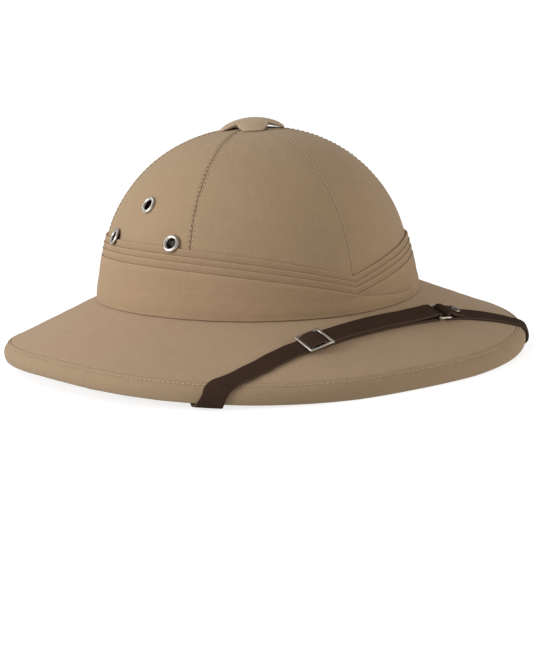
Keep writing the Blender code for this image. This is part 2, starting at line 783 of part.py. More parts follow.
def skin_point(azimuth, distance, lift):
    """Point at a distance past the rim's fold, measured along the skin, and raised off it by a lift."""
    points, fold, _ = skin_line(azimuth)
    normals = []
    for i in range(len(points)):
        a = points[max(i - 1, 0)]
        b = points[min(i + 1, len(points) - 1)]
        size = math.dist(a, b)
        normals.append(((a[1] - b[1]) / size, (b[0] - a[0]) / size))
    spans = [math.dist(a, b) for a, b in zip(points, points[1:])]
    target = max(sum(spans[:fold]) + distance, 0.0)
    i = 0
    while i < len(spans) - 1 and target > spans[i]:
        target -= spans[i]
        i += 1
    share = target / spans[i]
    mixed = [normals[i][k] + (normals[i + 1][k] - normals[i][k]) * share for k in (0, 1)]
    size = math.hypot(*mixed)
    radius, height = [
        points[i][k] + (points[i + 1][k] - points[i][k]) * share + mixed[k] / size * lift for k in (0, 1)
    ]
    return at(azimuth, radius, height)


def smooth(a, b, c, d, t):
    """Catmull-Rom value between b and c."""
    return 0.5 * (2 * b + (c - a) * t + (2 * a - 5 * b + 4 * c - d) * t * t + (3 * b - a - 3 * c + d) * t ** 3)


def strap_route():
    """Dense stations along the strap: azimuth, distance past the fold, lift and length so far."""
    rows = [STRAP_ROUTE[0], *STRAP_ROUTE, STRAP_ROUTE[-1]]
    stations = []
    for i in range(1, len(rows) - 2):
        for step in range(ROUTE_STEPS):
            t = step / ROUTE_STEPS
            values = [smooth(*(rows[i + k][item] for k in (-1, 0, 1, 2)), t) for item in range(3)]
            azimuth = math.radians(values[0])
            above, under, inside = skin_lengths(azimuth)
            turn = values[1]
            if turn < 0:
                distance = turn * above
            elif turn < 1:
                distance = turn * under
            else:
                distance = under + (turn - 1) * inside
            stations.append([azimuth, distance, values[2] * STRAP_WALL])
    length = 0.0
    last = None
    for station in stations:
        point = skin_point(station[0], station[1], 0.0)
        length += (point - last).length if last else 0.0
        last = point
        station.append(length)
    return stations


def route_at(route, length):
    """Values of the route at a length along it."""
    for a, b in zip(route, route[1:]):
        if b[3] >= length:
            share = (length - a[3]) / (b[3] - a[3])
            return [a[k] + (b[k] - a[k]) * share for k in range(4)]
    return route[-1]


def section_skew(distance):
    """How far a section of the strap turns to lie along the rim's fold: 0 on the brim, 1 from the rim on."""
    share = (distance + SKEW_END) / (SKEW_END - SKEW_START)
    share = min(max(share, 0.0), 1.0)
    return share * share * (3 - 2 * share)


def strap_point(route, length, across, lift):
    """Point of the strap at a length along the route and a distance across it."""
    before = route_at(route, length - MM)
    here = route_at(route, length)
    after = route_at(route, length + MM)
    radius = math.hypot(*skin_point(here[0], here[1], 0.0).xy)
    run = Vector((radius * (after[0] - before[0]), after[1] - before[1])).normalized()
    square = Vector((run.y, -run.x))
    skew = section_skew(here[1])
    line = (square * (1 - skew) + Vector((math.copysign(1.0, square.x), 0.0)) * skew).normalized()
    shift = line * (across / line.dot(square))
    return skin_point(here[0] + shift.x / radius, here[1] + shift.y, here[2] + lift)


def strap_section(route, length, lift, wall_side=1):
    """Section of the strap: its outer face, then its inner face. The outer face of a lower strand is below."""
    half = STRAP_WIDTH / 2
    outer = lift if wall_side > 0 else lift + STRAP_WALL
    inner = lift + STRAP_WALL if wall_side > 0 else lift
    return (
        [strap_point(route, length, across, outer) for across in (-half, 0.0, half)]
        + [strap_point(route, length, across, inner) for across in (half, 0.0, -half)]
    )


def edge_distances(azimuth):
    """Distances past the rim's fold at which the skin bends: round the rim and at the crown's mouth."""
    points, fold, mouth = skin_line(azimuth)
    spans = [math.dist(a, b) for a, b in zip(points, points[1:])]
    bends = [*range(fold - 2, fold + len(RIM_EDGE)), *range(mouth - 1, mouth + 2)]
    return [sum(spans[:bend]) - sum(spans[:fold]) for bend in bends]


def strap_stops(route, start, end):
    """Lengths at which the strap has a section: at each bend of the skin and evenly between them."""
    stops = {start, end}
    for a, b in zip(route, route[1:]):
        if not start < a[3] < b[3] < end:
            continue
        for bend in edge_distances(a[0]):
            if (a[1] - bend) * (b[1] - bend) < 0:
                stops.add(a[3] + (b[3] - a[3]) * (bend - a[1]) / (b[1] - a[1]))
    ordered = sorted(stops)
    filled = []
    for a, b in zip(ordered, ordered[1:]):
        pieces = max(1, round((b - a) / STRAP_STEP))
        filled += [a + (b - a) * i / pieces for i in range(pieces)]
    return filled + [end]


class Frame:
    """Place and directions on the strap's lower strand: along, across and out of its upper face."""

    def __init__(self, route, length):
        half = STRAP_WIDTH / 2
        self.origin = strap_point(route, length, 0.0, STRAP_WALL)
        ahead = strap_point(route, length + half, 0.0, STRAP_WALL)
        behind = strap_point(route, length - half, 0.0, STRAP_WALL)
        left = strap_point(route, length, half, STRAP_WALL)
        right = strap_point(route, length, -half, STRAP_WALL)
        self.along = (ahead - behind).normalized()
        across = (left - right).normalized()
        self.out = self.along.cross(across).normalized()
        self.across = self.out.cross(self.along).normalized()
        edge = (left + right) / 2
        if (edge - self.origin).dot(self.out) > 0:
            self.origin = edge

    def point(self, x, y, z):
        return self.origin + self.along * x + self.across * y + self.out * z


def fold_sections(frame, centre, facing):
    """Sections of a strap turned back round a bar: from the lower strand over to the upper one."""
    half = STRAP_WIDTH / 2
    bar = WIRE / 2 + GAP
    sections = []
    for i in range(FOLD_STEPS + 1):
        turn = math.pi * i / FOLD_STEPS - math.pi / 2
        reach = facing * math.cos(turn)
        rise = bar + math.sin(turn) * bar
        outer_rise = bar + math.sin(turn) * (bar + STRAP_WALL)
        outer = [
            frame.point(centre + reach * (bar + STRAP_WALL), across, outer_rise) for across in (-half, 0.0, half)
        ]
        inner = [frame.point(centre + reach * bar, across, rise) for across in (half, 0.0, -half)]
        sections.append(outer + inner)
    return sections


def upper_section(frame, x, rise):
    """Section of an upper strand near a frame, where it is straight across."""
    half = STRAP_WIDTH / 2
    outer = [frame.point(x, across, rise + STRAP_WALL) for across in (-half, 0.0, half)]
    return outer + [frame.point(x, across, rise) for across in (half, 0.0, -half)]


def strap_long(route, ring, slide_at, ring_at):
    """Strap from the right rivet round the rim and under the slide to the ring, and back to the slide."""
    slide = Frame(route, slide_at)
    bar_at = RING_LENGTH / 2 - WIRE / 2
    sections = [strap_section(route, stop, 0.0) for stop in strap_stops(route, 0.0, ring_at - bar_at - WIRE)]
    sections += fold_sections(ring, -bar_at, 1)
    height = WIRE + 2 * GAP
    sections.append(upper_section(ring, -bar_at - WIRE, height))
    stop = ring_at - bar_at - FOLD_RUN * WIRE
    while stop > slide_at + SLIDE_LENGTH * SLIDE_PASS_STOP:
        away = (ring_at - bar_at - stop) / STRAND_REACH
        rise = GAP + (height - GAP) * max(0.0, 1 - away)
        sections.append(strap_section(route, stop, STRAP_WALL + rise, -1))
        stop -= STRAP_STEP
    over = SLIDE_LEAN / 2 + SLIDE_WALL + 2.5 * GAP
    for share, gaps, way_over in SLIDE_PASS:
        sections.append(upper_section(slide, share * SLIDE_LENGTH, gaps * GAP + way_over * over))
    inside_end = SLIDE_LENGTH / 2 - SLIDE_BAR - GAP
    sections.append(upper_section(slide, -inside_end, 2 * GAP))
    return loft("strap_long", sections, leather_material("strap_long"), closed=False)


def strap_short(route, ring, ring_at):
    """Strap from the fold round the ring to the left rivet, its fold held by the stud."""
    bar_at = RING_LENGTH / 2 - WIRE / 2
    height = WIRE + 2 * GAP
    end = ring_at + bar_at + SHORT_FOLD_LENGTH
    sections = []
    stop = end
    while stop > ring_at + bar_at + 2 * WIRE:
        away = (stop - ring_at - bar_at) / SHORT_FOLD_LENGTH
        rise = GAP + (height - GAP) * max(0.0, 1 - SHORT_FOLD_FALL * away)
        sections.append(strap_section(route, stop, STRAP_WALL + rise, -1))
        stop -= STRAP_STEP / 2
    sections.append(upper_section(ring, bar_at + WIRE, height))
    sections += fold_sections(ring, bar_at, -1)[::-1]
    route_end = route[-1][3]
    for stop in strap_stops(route, ring_at + bar_at + WIRE, route_end):
        sections.append(strap_section(route, stop, 0.0))
    return loft("strap_short", sections, leather_material("strap_short"), closed=False)


def strap_ring(ring):
    """Rectangular loop of wire that joins the two straps."""
    x = RING_LENGTH / 2 - WIRE / 2
    y = STRAP_WIDTH / 2 + SIDE_CLEARANCE + WIRE / 2
    z = WIRE / 2 + GAP
    corners = ((x, y), (-x, y), (-x, -y), (x, -y))
    sections = []
    for cx, cy in corners:
        corner = Vector((math.copysign(math.sqrt(0.5), cx), math.copysign(math.sqrt(0.5), cy)))
        section = []
        for i in range(WIRE_SIDES):
            turn = 2 * math.pi * i / WIRE_SIDES
            reach = WIRE / 2 * math.cos(turn) * math.sqrt(2)
            section.append(ring.point(cx + corner.x * reach, cy + corner.y * reach, z + WIRE / 2 * math.sin(turn)))
        sections.append(section)
    return loft("strap_ring", sections, nickel_material("strap_ring"), closed=True)


def strap_slide(frame):
    """Flat rectangular slide with a centre bar, leaning up towards the ring."""
    half_length = SLIDE_LENGTH / 2
    half_width = STRAP_WIDTH / 2 + SIDE_CLEARANCE + SLIDE_BAR
    xs = (
        -half_length, -half_length + SLIDE_BAR, -SLIDE_BAR / 2, SLIDE_BAR / 2, half_length - SLIDE_BAR, half_length
    )
    ys = (-half_width, -half_width + SLIDE_BAR, half_width - SLIDE_BAR, half_width)
    build = bmesh.new()

    def vertex_grid(height):
        grid = []
        for x in xs:
            rise = GAP + height + SLIDE_LEAN * (x + half_length) / SLIDE_LENGTH
            grid.append([build.verts.new(frame.point(x, y, rise)) for y in ys])
        return grid

    low = vertex_grid(0.0)
    top = vertex_grid(SLIDE_WALL)
    windows = {(1, 1), (3, 1)}
    for i in range(len(xs) - 1):
        for j in range(len(ys) - 1):
            if (i, j) in windows:
                continue
            build.faces.new((top[i][j], top[i + 1][j], top[i + 1][j + 1], top[i][j + 1]))
            build.faces.new((low[i][j], low[i][j + 1], low[i + 1][j + 1], low[i + 1][j]))
            sides = (
                ((i - 1, j), (i, j), (i, j + 1)),
                ((i + 1, j), (i + 1, j + 1), (i + 1, j)),
                ((i, j - 1), (i + 1, j), (i, j)),
                ((i, j + 1), (i, j + 1), (i + 1, j + 1)),
            )
            for beside, a, b in sides:
                open_side = beside in windows or beside[0] in (-1, len(xs) - 1) or beside[1] in (-1, len(ys) - 1)
                if open_side:
                    build.faces.new((top[a[0]][a[1]], top[b[0]][b[1]], low[b[0]][b[1]], low[a[0]][a[1]]))
    return finish_mesh("strap_slide", build, nickel_material("strap_slide"))


def snap_stud(frame, strap):
    """Domed stud through both layers of the short strap."""
    layers = STRAP_WALL + STUD_SEAT
    profile = (
        (0.0, -STRAP_WALL),
        (STUD_POST_RADIUS, -STRAP_WALL),
        (STUD_POST_RADIUS, layers + GAP),
        (STUD_RADIUS, layers + GAP),
        *[(out * STUD_RADIUS, layers + GAP + height * STUD_DOME) for out, height in STUD_ROUNDING],
        (0.0, layers + GAP + STUD_DOME),
    )
    solid_of_revolution("snap_stud", profile, STUD_SIDES, frame.point, nickel_material("snap_stud"))
    bore = (
        (0.0, -3 * STRAP_WALL),
        (STUD_POST_RADIUS + GAP, -3 * STRAP_WALL),
        (STUD_POST_RADIUS + GAP, 4 * STRAP_WALL),
        (0.0, 4 * STRAP_WALL),
    )
    drill = solid_of_revolution("drill_stud", bore, STUD_SIDES, frame.point, nickel_material("drill_stud"))
    cut(strap, drill)


def strap_rivet(name, frame, strap, body):
    """Hidden rivet that holds an end of the strap to the inside of the crown."""
    reach = STRAP_WALL + STRAP_UNDER_LIFT + RIVET_BORE_DEPTH
    profile = (
        (0.0, -reach),
        (RIVET_POST_RADIUS, -reach),
        (RIVET_POST_RADIUS, GAP),
        (RIVET_HEAD_RADIUS, GAP),
        *[(out * RIVET_HEAD_RADIUS, GAP + height * RIVET_HEAD_WALL) for out, height in RIVET_ROUNDING],
        (0.0, GAP + RIVET_HEAD_WALL),
    )
    solid_of_revolution(name, profile, RIVET_SIDES, frame.point, nickel_material(name))
    bore = (
        (0.0, -reach - GAP),
        (RIVET_POST_RADIUS + GAP, -reach - GAP),
        (RIVET_POST_RADIUS + GAP, STRAP_WALL),
        (0.0, STRAP_WALL),
    )
    drill = solid_of_revolution("drill_" + name, bore, RIVET_SIDES, frame.point, nickel_material("drill_" + name))
    cut(strap, drill)
    cut(body, drill)


def chin_strap(body):
    """The whole strap: two leather straps, the slide, the ring, the stud and the hidden rivets."""
    route = strap_route()
    marks = {}
    for name, azimuth in (("slide", SLIDE_AZIMUTH), ("ring", RING_AZIMUTH)):
        marks[name] = next(station[3] for station in route if station[1] < 0 and station[0] >= azimuth)
    ring = Frame(route, marks["ring"])
    slide = Frame(route, marks["slide"])
    long_strap = strap_long(route, ring, marks["slide"], marks["ring"])
    short_strap = strap_short(route, ring, marks["ring"])
    strap_slide(slide)
    strap_ring(ring)
    stud_at = marks["ring"] + RING_LENGTH / 2 + STUD_DISTANCE
    snap_stud(Frame(route, stud_at), short_strap)
    end = route[-1][3]
    strap_rivet("strap_rivet_right", Frame(route, RIVET_INSET), long_strap, body)
    strap_rivet("strap_rivet_left", Frame(route, end - RIVET_INSET), short_strap, body)


def main():
    clear_scene()
    drills = {1: eyelet_drill(1, "drill_left"), -1: eyelet_drill(-1, "drill_right")}
    body = shell()
    for drill in drills.values():
        cut(body, drill)
    crown_panels(drills)
    brim_cover()
    rim_binding()
    pugaree(drills)
    vent_cap()
    for side, word in ((1, "left"), (-1, "right")):
        for number, row in enumerate(EYELETS, start=1):
            eyelet(f"eyelet_{word}_{number}", side, row)
    chin_strap(body)


main()
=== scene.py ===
"""Looks of the pith helmet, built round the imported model. Units are metres and +Z is up."""
import math

import bmesh
import bpy
import numpy as np
from mathutils import Matrix, Vector


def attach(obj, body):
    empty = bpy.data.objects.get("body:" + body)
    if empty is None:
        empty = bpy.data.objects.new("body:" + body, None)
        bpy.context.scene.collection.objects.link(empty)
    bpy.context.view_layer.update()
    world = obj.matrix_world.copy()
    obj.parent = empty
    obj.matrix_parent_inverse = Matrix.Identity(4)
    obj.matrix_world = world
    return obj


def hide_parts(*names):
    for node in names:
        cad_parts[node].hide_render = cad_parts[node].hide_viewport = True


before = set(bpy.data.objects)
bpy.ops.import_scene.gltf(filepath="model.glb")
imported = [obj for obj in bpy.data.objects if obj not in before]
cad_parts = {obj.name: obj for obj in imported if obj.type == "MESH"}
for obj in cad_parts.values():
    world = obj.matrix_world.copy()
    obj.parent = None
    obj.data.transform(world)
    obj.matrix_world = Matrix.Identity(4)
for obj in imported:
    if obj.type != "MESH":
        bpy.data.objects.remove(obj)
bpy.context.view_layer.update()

MM = 0.001
TAU = 2 * math.pi

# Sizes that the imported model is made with
BRIM_LENGTH = 340.0 * MM
BRIM_WIDTH = 301.4 * MM
BRIM_SQUARENESS = 2.35
CROWN_LENGTH = 214.2 * MM
CROWN_WIDTH = 190.8 * MM
CROWN_SQUARENESS = 2.0
CROWN_FULLNESS = 2.16
RIM_DEPTH = 7.5 * MM
RIM_SIDE_RISE = 7.8 * MM
REST_FLAT = 0.5 * MM
CROWN_FOOT_HEIGHT = 39.8 * MM
CROWN_FOOT_SIDE_RISE = 3.2 * MM
CROWN_FOOT_LEAN = 1.5 * MM
CROWN_HEIGHT = 104.3 * MM
CROWN_LEAN = 3.0 * MM
CROWN_WAIST = 1.0 * MM
CROWN_WAIST_RISE = 55.0 * MM
CLOTH = 1.0 * MM
GAP = 0.3 * MM
SHELL_WALL = 4.2 * MM
FOOT_FILLET = 2.5 * MM
VENT_HOLE_RADIUS = 6.0 * MM
PANEL_TOP_RADIUS = 7.5 * MM
SEAM_INSET = 5.05 * MM
SEAM_HEIGHT = 4.42 * MM
BINDING_UNDER_INSET = 9.0 * MM
RIM_EDGE = ((0.50, 0.38), (0.13, 0.08), (0.00, -0.22), (0.03, -0.62), (0.20, -0.90), (0.46, -1.00), (1.28, -1.00))
BAND_BOTTOM_STANDOFF = 2.6 * MM
BAND_V_DROP = 18.3 * MM
BAND_V_REACH = math.radians(90)
BAND_V_SHARPNESS = 2.6
BAND_BACK_DROP = 3.5 * MM
BAND_LEAN = 1.3 * MM
BAND_ROLL = 2.5 * MM
BAND_SAG = 2.8 * MM
BAND_SAG_AZIMUTH = math.radians(60)
BAND_SAG_REACH = math.radians(14)
WRAP_END_REACH = math.radians(33)
WRAP_END_BEND = 0.74
PLEAT_SQUEEZE = 0.20
PLEATS = (
    # height over the foot, stand-off of the fold, stand-off of the cloth that comes out from behind it
    (28.0 * MM, 1.95 * MM, 1.50 * MM),
    (32.6 * MM, 1.85 * MM, 1.40 * MM),
    (36.3 * MM, 1.75 * MM, 1.30 * MM),
    (40.6 * MM, 1.55 * MM, GAP),
)
CAP_RADIUS = 20.0 * MM
CAP_NOTCH_RADIUS = 13.6 * MM
CAP_RISE = 5.6 * MM
CAP_WALL = 1.5 * MM
CAP_FULLNESS = 2.1
CAP_LEGS = 4
CAP_TURN = math.radians(-31)
CAP_OFFSET = (2.0 * MM, -1.2 * MM)
LEG_TOP_HALF_ANGLE = math.radians(43)
EYELET_BORE_RADIUS = 3.1 * MM
EYELET_BARREL_RADIUS = 3.6 * MM
EYELET_FLANGE_RADIUS = 5.5 * MM
EYELET_ROLL = 1.3 * MM
EYELET_TAIL_RADIUS = 4.8 * MM
EYELET_TAIL_WALL = 0.6 * MM
EYELET_TAIL_GAP = 1.9 * MM
EYELETS = (
    # azimuth, height over the foot, seat above the crown cloth, lean over the band's edge
    (math.radians(65.5), 43.8 * MM, 1.5 * MM, math.radians(8)),
    (math.radians(86.1), 64.8 * MM, GAP, 0.0),
    (math.radians(104.5), 44.2 * MM, 1.6 * MM, math.radians(8)),
)
STRAP_WIDTH = 12.7 * MM
STRAP_WALL = 1.5 * MM
SHORT_FOLD_LENGTH = 15.0 * MM
SKEW_START = 10.0 * MM
SKEW_END = 28.0 * MM
SLIDE_AZIMUTH = math.radians(-19.1)
RING_AZIMUTH = math.radians(23.6)
RIVET_HEIGHT = 30.0 * MM
STUD_RADIUS = 3.1 * MM
STUD_DOME = 1.7 * MM
STUD_DISTANCE = 9.3 * MM
WIRE = 1.5 * MM
RING_LENGTH = 10.6 * MM
SLIDE_LENGTH = 17.0 * MM
SLIDE_BAR = 1.6 * MM
SLIDE_WALL = 1.2 * MM
SIDE_CLEARANCE = 0.5 * MM

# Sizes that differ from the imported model's on purpose, so that the looks come nearer to the photo
STRAND_REACH = 22.0 * MM
TAB_LENGTH = 13.0 * MM
SLIDE_LEAN = 1.2 * MM
LEG_FOOT_HALF_ANGLE = math.radians(16.8)

# Sizes of the looks alone
BINDING_JOIN = math.radians(-74.7)
WRAP_END_STEP = 0.6 * MM
WRAP_END_START = math.radians(6)
BAND_SWELL = 0.35 * MM
PANEL_EDGE_PLAY = 0.04 * MM
BRIM_EDGE_PLAY = 0.1 * MM
CROWN_RIPPLE = 0.16 * MM
BRIM_RIPPLE = 0.22 * MM
BINDING_RIPPLE = 0.1 * MM
BAND_RIPPLE = 0.30 * MM
CAP_NOTCH_WALL = 0.5 * MM
EYELET_EDGE = 0.15 * MM
CUTTER_SIDES = 24
CUTTER_PLAY = 0.15 * MM
CUTTER_ENDS = (-14 * MM, 5 * MM)
TURNED_SIDES = 48
RIM_STEPS = 5
SLIDE_BEVEL = 0.38 * MM
RING_BEND = 1.3 * MM
STUD_POST_RADIUS = 1.2 * MM
STUD_SEAT = STRAP_WALL + 0.35 * MM
EDGE_STITCH_INSET = 1.9 * MM
STITCH_HEIGHT = 0.12 * MM
EDGE_PUCKERS = 314
# Painted shade down each eyelet's bore, dark at its tail and lighter towards the roll
BORE_SHADE = (0.0, 0.05, 0.35, 0.8)
# Share of the full relief at each seam, from the front one round by the wearer's left
SEAM_DEPTH = (0.0, 0.8, 1.0, 1.0, 1.0, 1.0)

# Relief and painted shade beside seams and edges, as rows of height in mm or change of painted tone, place and half
# width in mm
SEAM_ALLOWANCE = (0.26, 4.6, 0.7)
SEAM_GROOVE = (-0.28, 0.0, 0.45)
SEAM_DIP = (-0.14, 2.0, 0.5)
SEAM_PUFF = (0.10, 7.5, 4.0)
# Painted shade in each seam's groove and a painted highlight just beside it
SEAM_SHADE = ((-0.15, 0.0, 0.5), (0.05, 1.3, 0.7))
EDGE_RELIEF = ((0.35, 0.8, 1.0), (-0.22, 1.9, 0.45))
EDGE_PUCKER = (0.10, 2.4, 1.1)
# Painted shade in the groove at the binding's seam and a painted highlight on its raised edge
EDGE_SHADE = ((-0.16, 0.0, 0.35), (0.07, 0.9, 0.5))
JOIN_RELIEF = (0.22, 0.0, 9.0)
# Painted shade just before the step where the tape's end laps over at the join
JOIN_SHADE = (-0.14, -0.3, 0.7)
CAP_RELIEF = ((0.28, 0.9, 0.7), (-0.12, 2.2, 0.4))
CAP_FOOT_TAPER = (1.0, 0.0, 2.2)
# Painted highlight on the vent cap's rolled edge
CAP_SHADE = (0.10, 0.7, 0.7)
BAND_TOP_EDGE = (
    # rise in mm, stand-off, tone as a painted highlight on the band's folded top edge
    (0.16, GAP + 0.45 * MM, 1.0), (0.14, PLEATS[3][1] - 0.35 * MM, 1.14), (-0.08, PLEATS[3][1], 1.12),
    (-0.5, PLEATS[3][1] + 0.02 * MM, 1.05),
)
FOLD_LIP = (
    # rise in mm, share of the fold's stand-off, more stand-off in mm, tone as painted shade in the crevice behind each
    # fold's edge and a painted highlight on the edge
    (-0.9, 0.0, -0.05, 0.55), (-0.15, 0.0, -0.10, 0.60), (0.16, 0.30, 0.0, 0.95), (0.22, 0.62, 0.0, 1.16),
    (0.04, 1.0, 0.06, 1.18), (-0.45, 1.0, 0.05, 1.07),
)
WRAP_END_EDGE = (
    # rise in mm, share of the step, change of tone as painted shade along the wrap end's edge and a painted highlight
    # just below it
    (0.28, 1.0, -0.30), (0.10, 0.5, -0.10), (-0.06, 0.1, 0.10), (-0.5, 0.0, 0.05),
)
BAND_HEM = (
    # stand-off in mm, height over the brim in mm, tone as painted shade darkening into the crease on the brim
    (0.35, 0.77, 0.95), (0.5, 0.32, 0.85), (0.25, 0.07, 0.7), (-0.6, 0.02, 0.6),
)
STITCH_SHAPE = (
    # place along the thread, share of its radius, rise in radii
    (-0.5, 0.0, -0.4), (-0.42, 0.75, 0.1), (-0.2, 1.0, 0.55), (0.2, 1.0, 0.55), (0.42, 0.75, 0.1), (0.5, 0.0, -0.4),
)
LIGHTS = (
    # name, position, size, power, colour
    ("key", (-1.85, 0.45, 0.62), 0.9, 22.5, (1.0, 1.0, 1.0)),
    ("top", (-0.8, 1.2, 1.4), 1.2, 7.5, (1.0, 1.0, 1.0)),
    ("fill", (1.15, -1.3, 0.24), 1.2, 10.5, (1.0, 0.92, 0.80)),
)

# Way of the strap from the right rivet to the left one. The turn is -1 at the crown's foot on top of the
# brim, 0 at the rim's fold, 1 under the brim at the mouth of the crown and 2 at the rivet inside.
STRAP_ROUTE = (
    # azimuth in degrees, turn, lift as a share of STRAP_WALL
    (-91.0, 2.12, 0.50), (-87.0, 1.75, 0.50), (-81.5, 1.38, 0.50), (-75.0, 1.02, 0.50), (-65.0, 0.80, 0.50),
    (-55.4, 0.52, 0.50), (-48.0, 0.27, 0.50), (-44.2, 0.13, 0.45), (-42.7, 0.07, 0.40), (-41.3, 0.00, 0.50),
    (-40.1, -0.05, 0.55), (-38.4, -0.11, 0.45), (-36.7, -0.17, 0.20), (-34.8, -0.24, 0.20),
    (-32.6, -0.31, 0.20), (-30.3, -0.39, 0.20), (-27.7, -0.46, 0.20), (-24.7, -0.53, 0.20),
    (-19.1, -0.61, 0.20), (-13.4, -0.68, 0.20), (-6.6, -0.73, 0.20), (-0.2, -0.757, 0.20), (7.0, -0.76, 0.20),
    (14.3, -0.738, 0.20), (21.4, -0.69, 0.20), (25.0, -0.65, 0.20), (27.9, -0.612, 0.20),
    (30.7, -0.567, 0.20), (33.2, -0.513, 0.20), (35.3, -0.456, 0.20), (37.5, -0.396, 0.20),
    (39.4, -0.328, 0.20), (41.1, -0.255, 0.20), (42.5, -0.18, 0.20), (43.5, -0.11, 0.20), (44.8, -0.03, 0.30),
    (46.6, 0.05, 0.40), (49.5, 0.14, 0.45), (55.0, 0.35, 0.50), (63.0, 0.68, 0.50), (72.0, 0.93, 0.50),
    (78.0, 1.15, 0.50), (84.0, 1.55, 0.50), (89.5, 1.95, 0.50), (91.5, 2.12, 0.50),
)


# Materials

class Tree:
    """Short calls for building a material's nodes."""

    def __init__(self, name):
        self.material = bpy.data.materials.new(name)
        self.material.use_nodes = True
        self.tree = self.material.node_tree
        self.shader = self.tree.nodes["Principled BSDF"]

    def node(self, kind, **settings):
        made = self.tree.nodes.new(kind)
        for key, value in settings.items():
            setattr(made, key, value)
        return made

    def put(self, value, socket):
        if isinstance(value, bpy.types.NodeSocket):
            self.tree.links.new(value, socket)
        else:
            socket.default_value = value

    def math(self, operation, a, b=0.0):
        made = self.node("ShaderNodeMath", operation=operation)
        self.put(a, made.inputs[0])
        self.put(b, made.inputs[1])
        return made.outputs[0]

    def plus(self, a, b):
        return self.math("ADD", a, b)

    def times(self, a, b):
        return self.math("MULTIPLY", a, b)

    def uv(self):
        return self.node("ShaderNodeUVMap", uv_map="UVMap").outputs[0]

    def place(self):
        return self.node("ShaderNodeTexCoord").outputs["Object"]

    def stretch(self, vector, scale):
        made = self.node("ShaderNodeVectorMath", operation="MULTIPLY")
        self.put(vector, made.inputs[0])
        made.inputs[1].default_value = scale
        return made.outputs[0]

    def noise(self, vector, scale, detail=2.0, roughness=0.5):
        made = self.node("ShaderNodeTexNoise")
        self.put(vector, made.inputs["Vector"])
        made.inputs["Scale"].default_value = scale
        made.inputs["Detail"].default_value = detail
        made.inputs["Roughness"].default_value = roughness
        return made.outputs[0]

    def ramp(self, value, low, high, to_low=0.0, to_high=1.0):
        made = self.node("ShaderNodeMapRange")
        self.put(value, made.inputs["Value"])
        for name, number in zip(("From Min", "From Max", "To Min", "To Max"), (low, high, to_low, to_high)):
            made.inputs[name].default_value = number
        return made.outputs[0]

    def mix(self, share, a, b):
        made = self.node("ShaderNodeMix", data_type="RGBA")
        self.put(share, made.inputs["Factor"])
        self.put(a, made.inputs["A"])
        self.put(b, made.inputs["B"])
        return made.outputs["Result"]

    def scaled(self, colour, value):
        made = self.node("ShaderNodeVectorMath", operation="SCALE")
        self.put(colour, made.inputs[0])
        self.put(value, made.inputs["Scale"])
        return made.outputs[0]

    def attribute(self, name):
        return self.node("ShaderNodeAttribute", attribute_name=name).outputs["Fac"]

    def bump(self, height, distance, strength=1.0):
        made = self.node("ShaderNodeBump")
        made.inputs["Strength"].default_value = strength
        made.inputs["Distance"].default_value = distance
        self.put(height, made.inputs["Height"])
        self.put(made.outputs[0], self.shader.inputs["Normal"])

    def set(self, **values):
        for name, value in values.items():
            self.put(value, self.shader.inputs[name.replace("_", " ")])


def linear(r, g, b):
    """Linear colour of an sRGB one given in 0 to 255."""
    out = [c / 255 / 12.92 if c <= 10 else ((c / 255 + 0.055) / 1.055) ** 2.4 for c in (r, g, b)]
    return (*out, 1.0)


THREAD_PITCH = 0.55 * MM
SLUB_WIDTH = 1.6 * THREAD_PITCH
SLUB_LENGTH = 34 * THREAD_PITCH


def cloth(name, colour, turn=0.0, slub=0.16):
    """Woven cotton: threads both ways with slubs, cloudy fading, and painted shade and highlights from the mesh's shade
    values.
    """
    t = Tree(name)
    uv = t.uv()
    if turn:
        rotate = t.node("ShaderNodeVectorRotate", rotation_type="Z_AXIS")
        t.put(uv, rotate.inputs["Vector"])
        rotate.inputs["Angle"].default_value = turn
        uv = rotate.outputs[0]
    place = t.place()
    split = t.node("ShaderNodeSeparateXYZ")
    t.put(uv, split.inputs[0])
    warp, weft = (t.math("SINE", t.times(split.outputs[k], TAU / THREAD_PITCH)) for k in range(2))
    weave = t.times(warp, weft)
    along = t.noise(t.stretch(uv, (1 / SLUB_WIDTH, 1 / SLUB_LENGTH, 0)), 1.0)
    across = t.noise(t.stretch(uv, (1 / SLUB_LENGTH, 1 / SLUB_WIDTH, 0)), 1.0)
    threads = t.plus(t.plus(along, across), -1.0)
    cloud = t.plus(t.noise(place, 26.0, 4.0, 0.55), -0.5)
    fade = t.plus(t.noise(place, 7.0), -0.5)
    value = 1.0
    for part, share in ((threads, slub), (cloud, 0.10), (fade, 0.08), (weave, 0.035)):
        value = t.plus(t.times(part, share), value)
    # The shade values paint shade into creases, grooves and undersides and paint highlights onto raised folds and edges
    value = t.times(value, t.attribute("shade"))
    t.put(t.scaled(linear(*colour)[:3], value), t.shader.inputs["Base Color"])
    t.bump(t.plus(t.times(weave, 0.5), t.times(threads, 1.6)), 0.10 * MM, 0.7)
    t.set(Roughness=0.88, Specular_IOR_Level=0.2, Sheen_Weight=0.14, Sheen_Roughness=0.4)
    return t.material


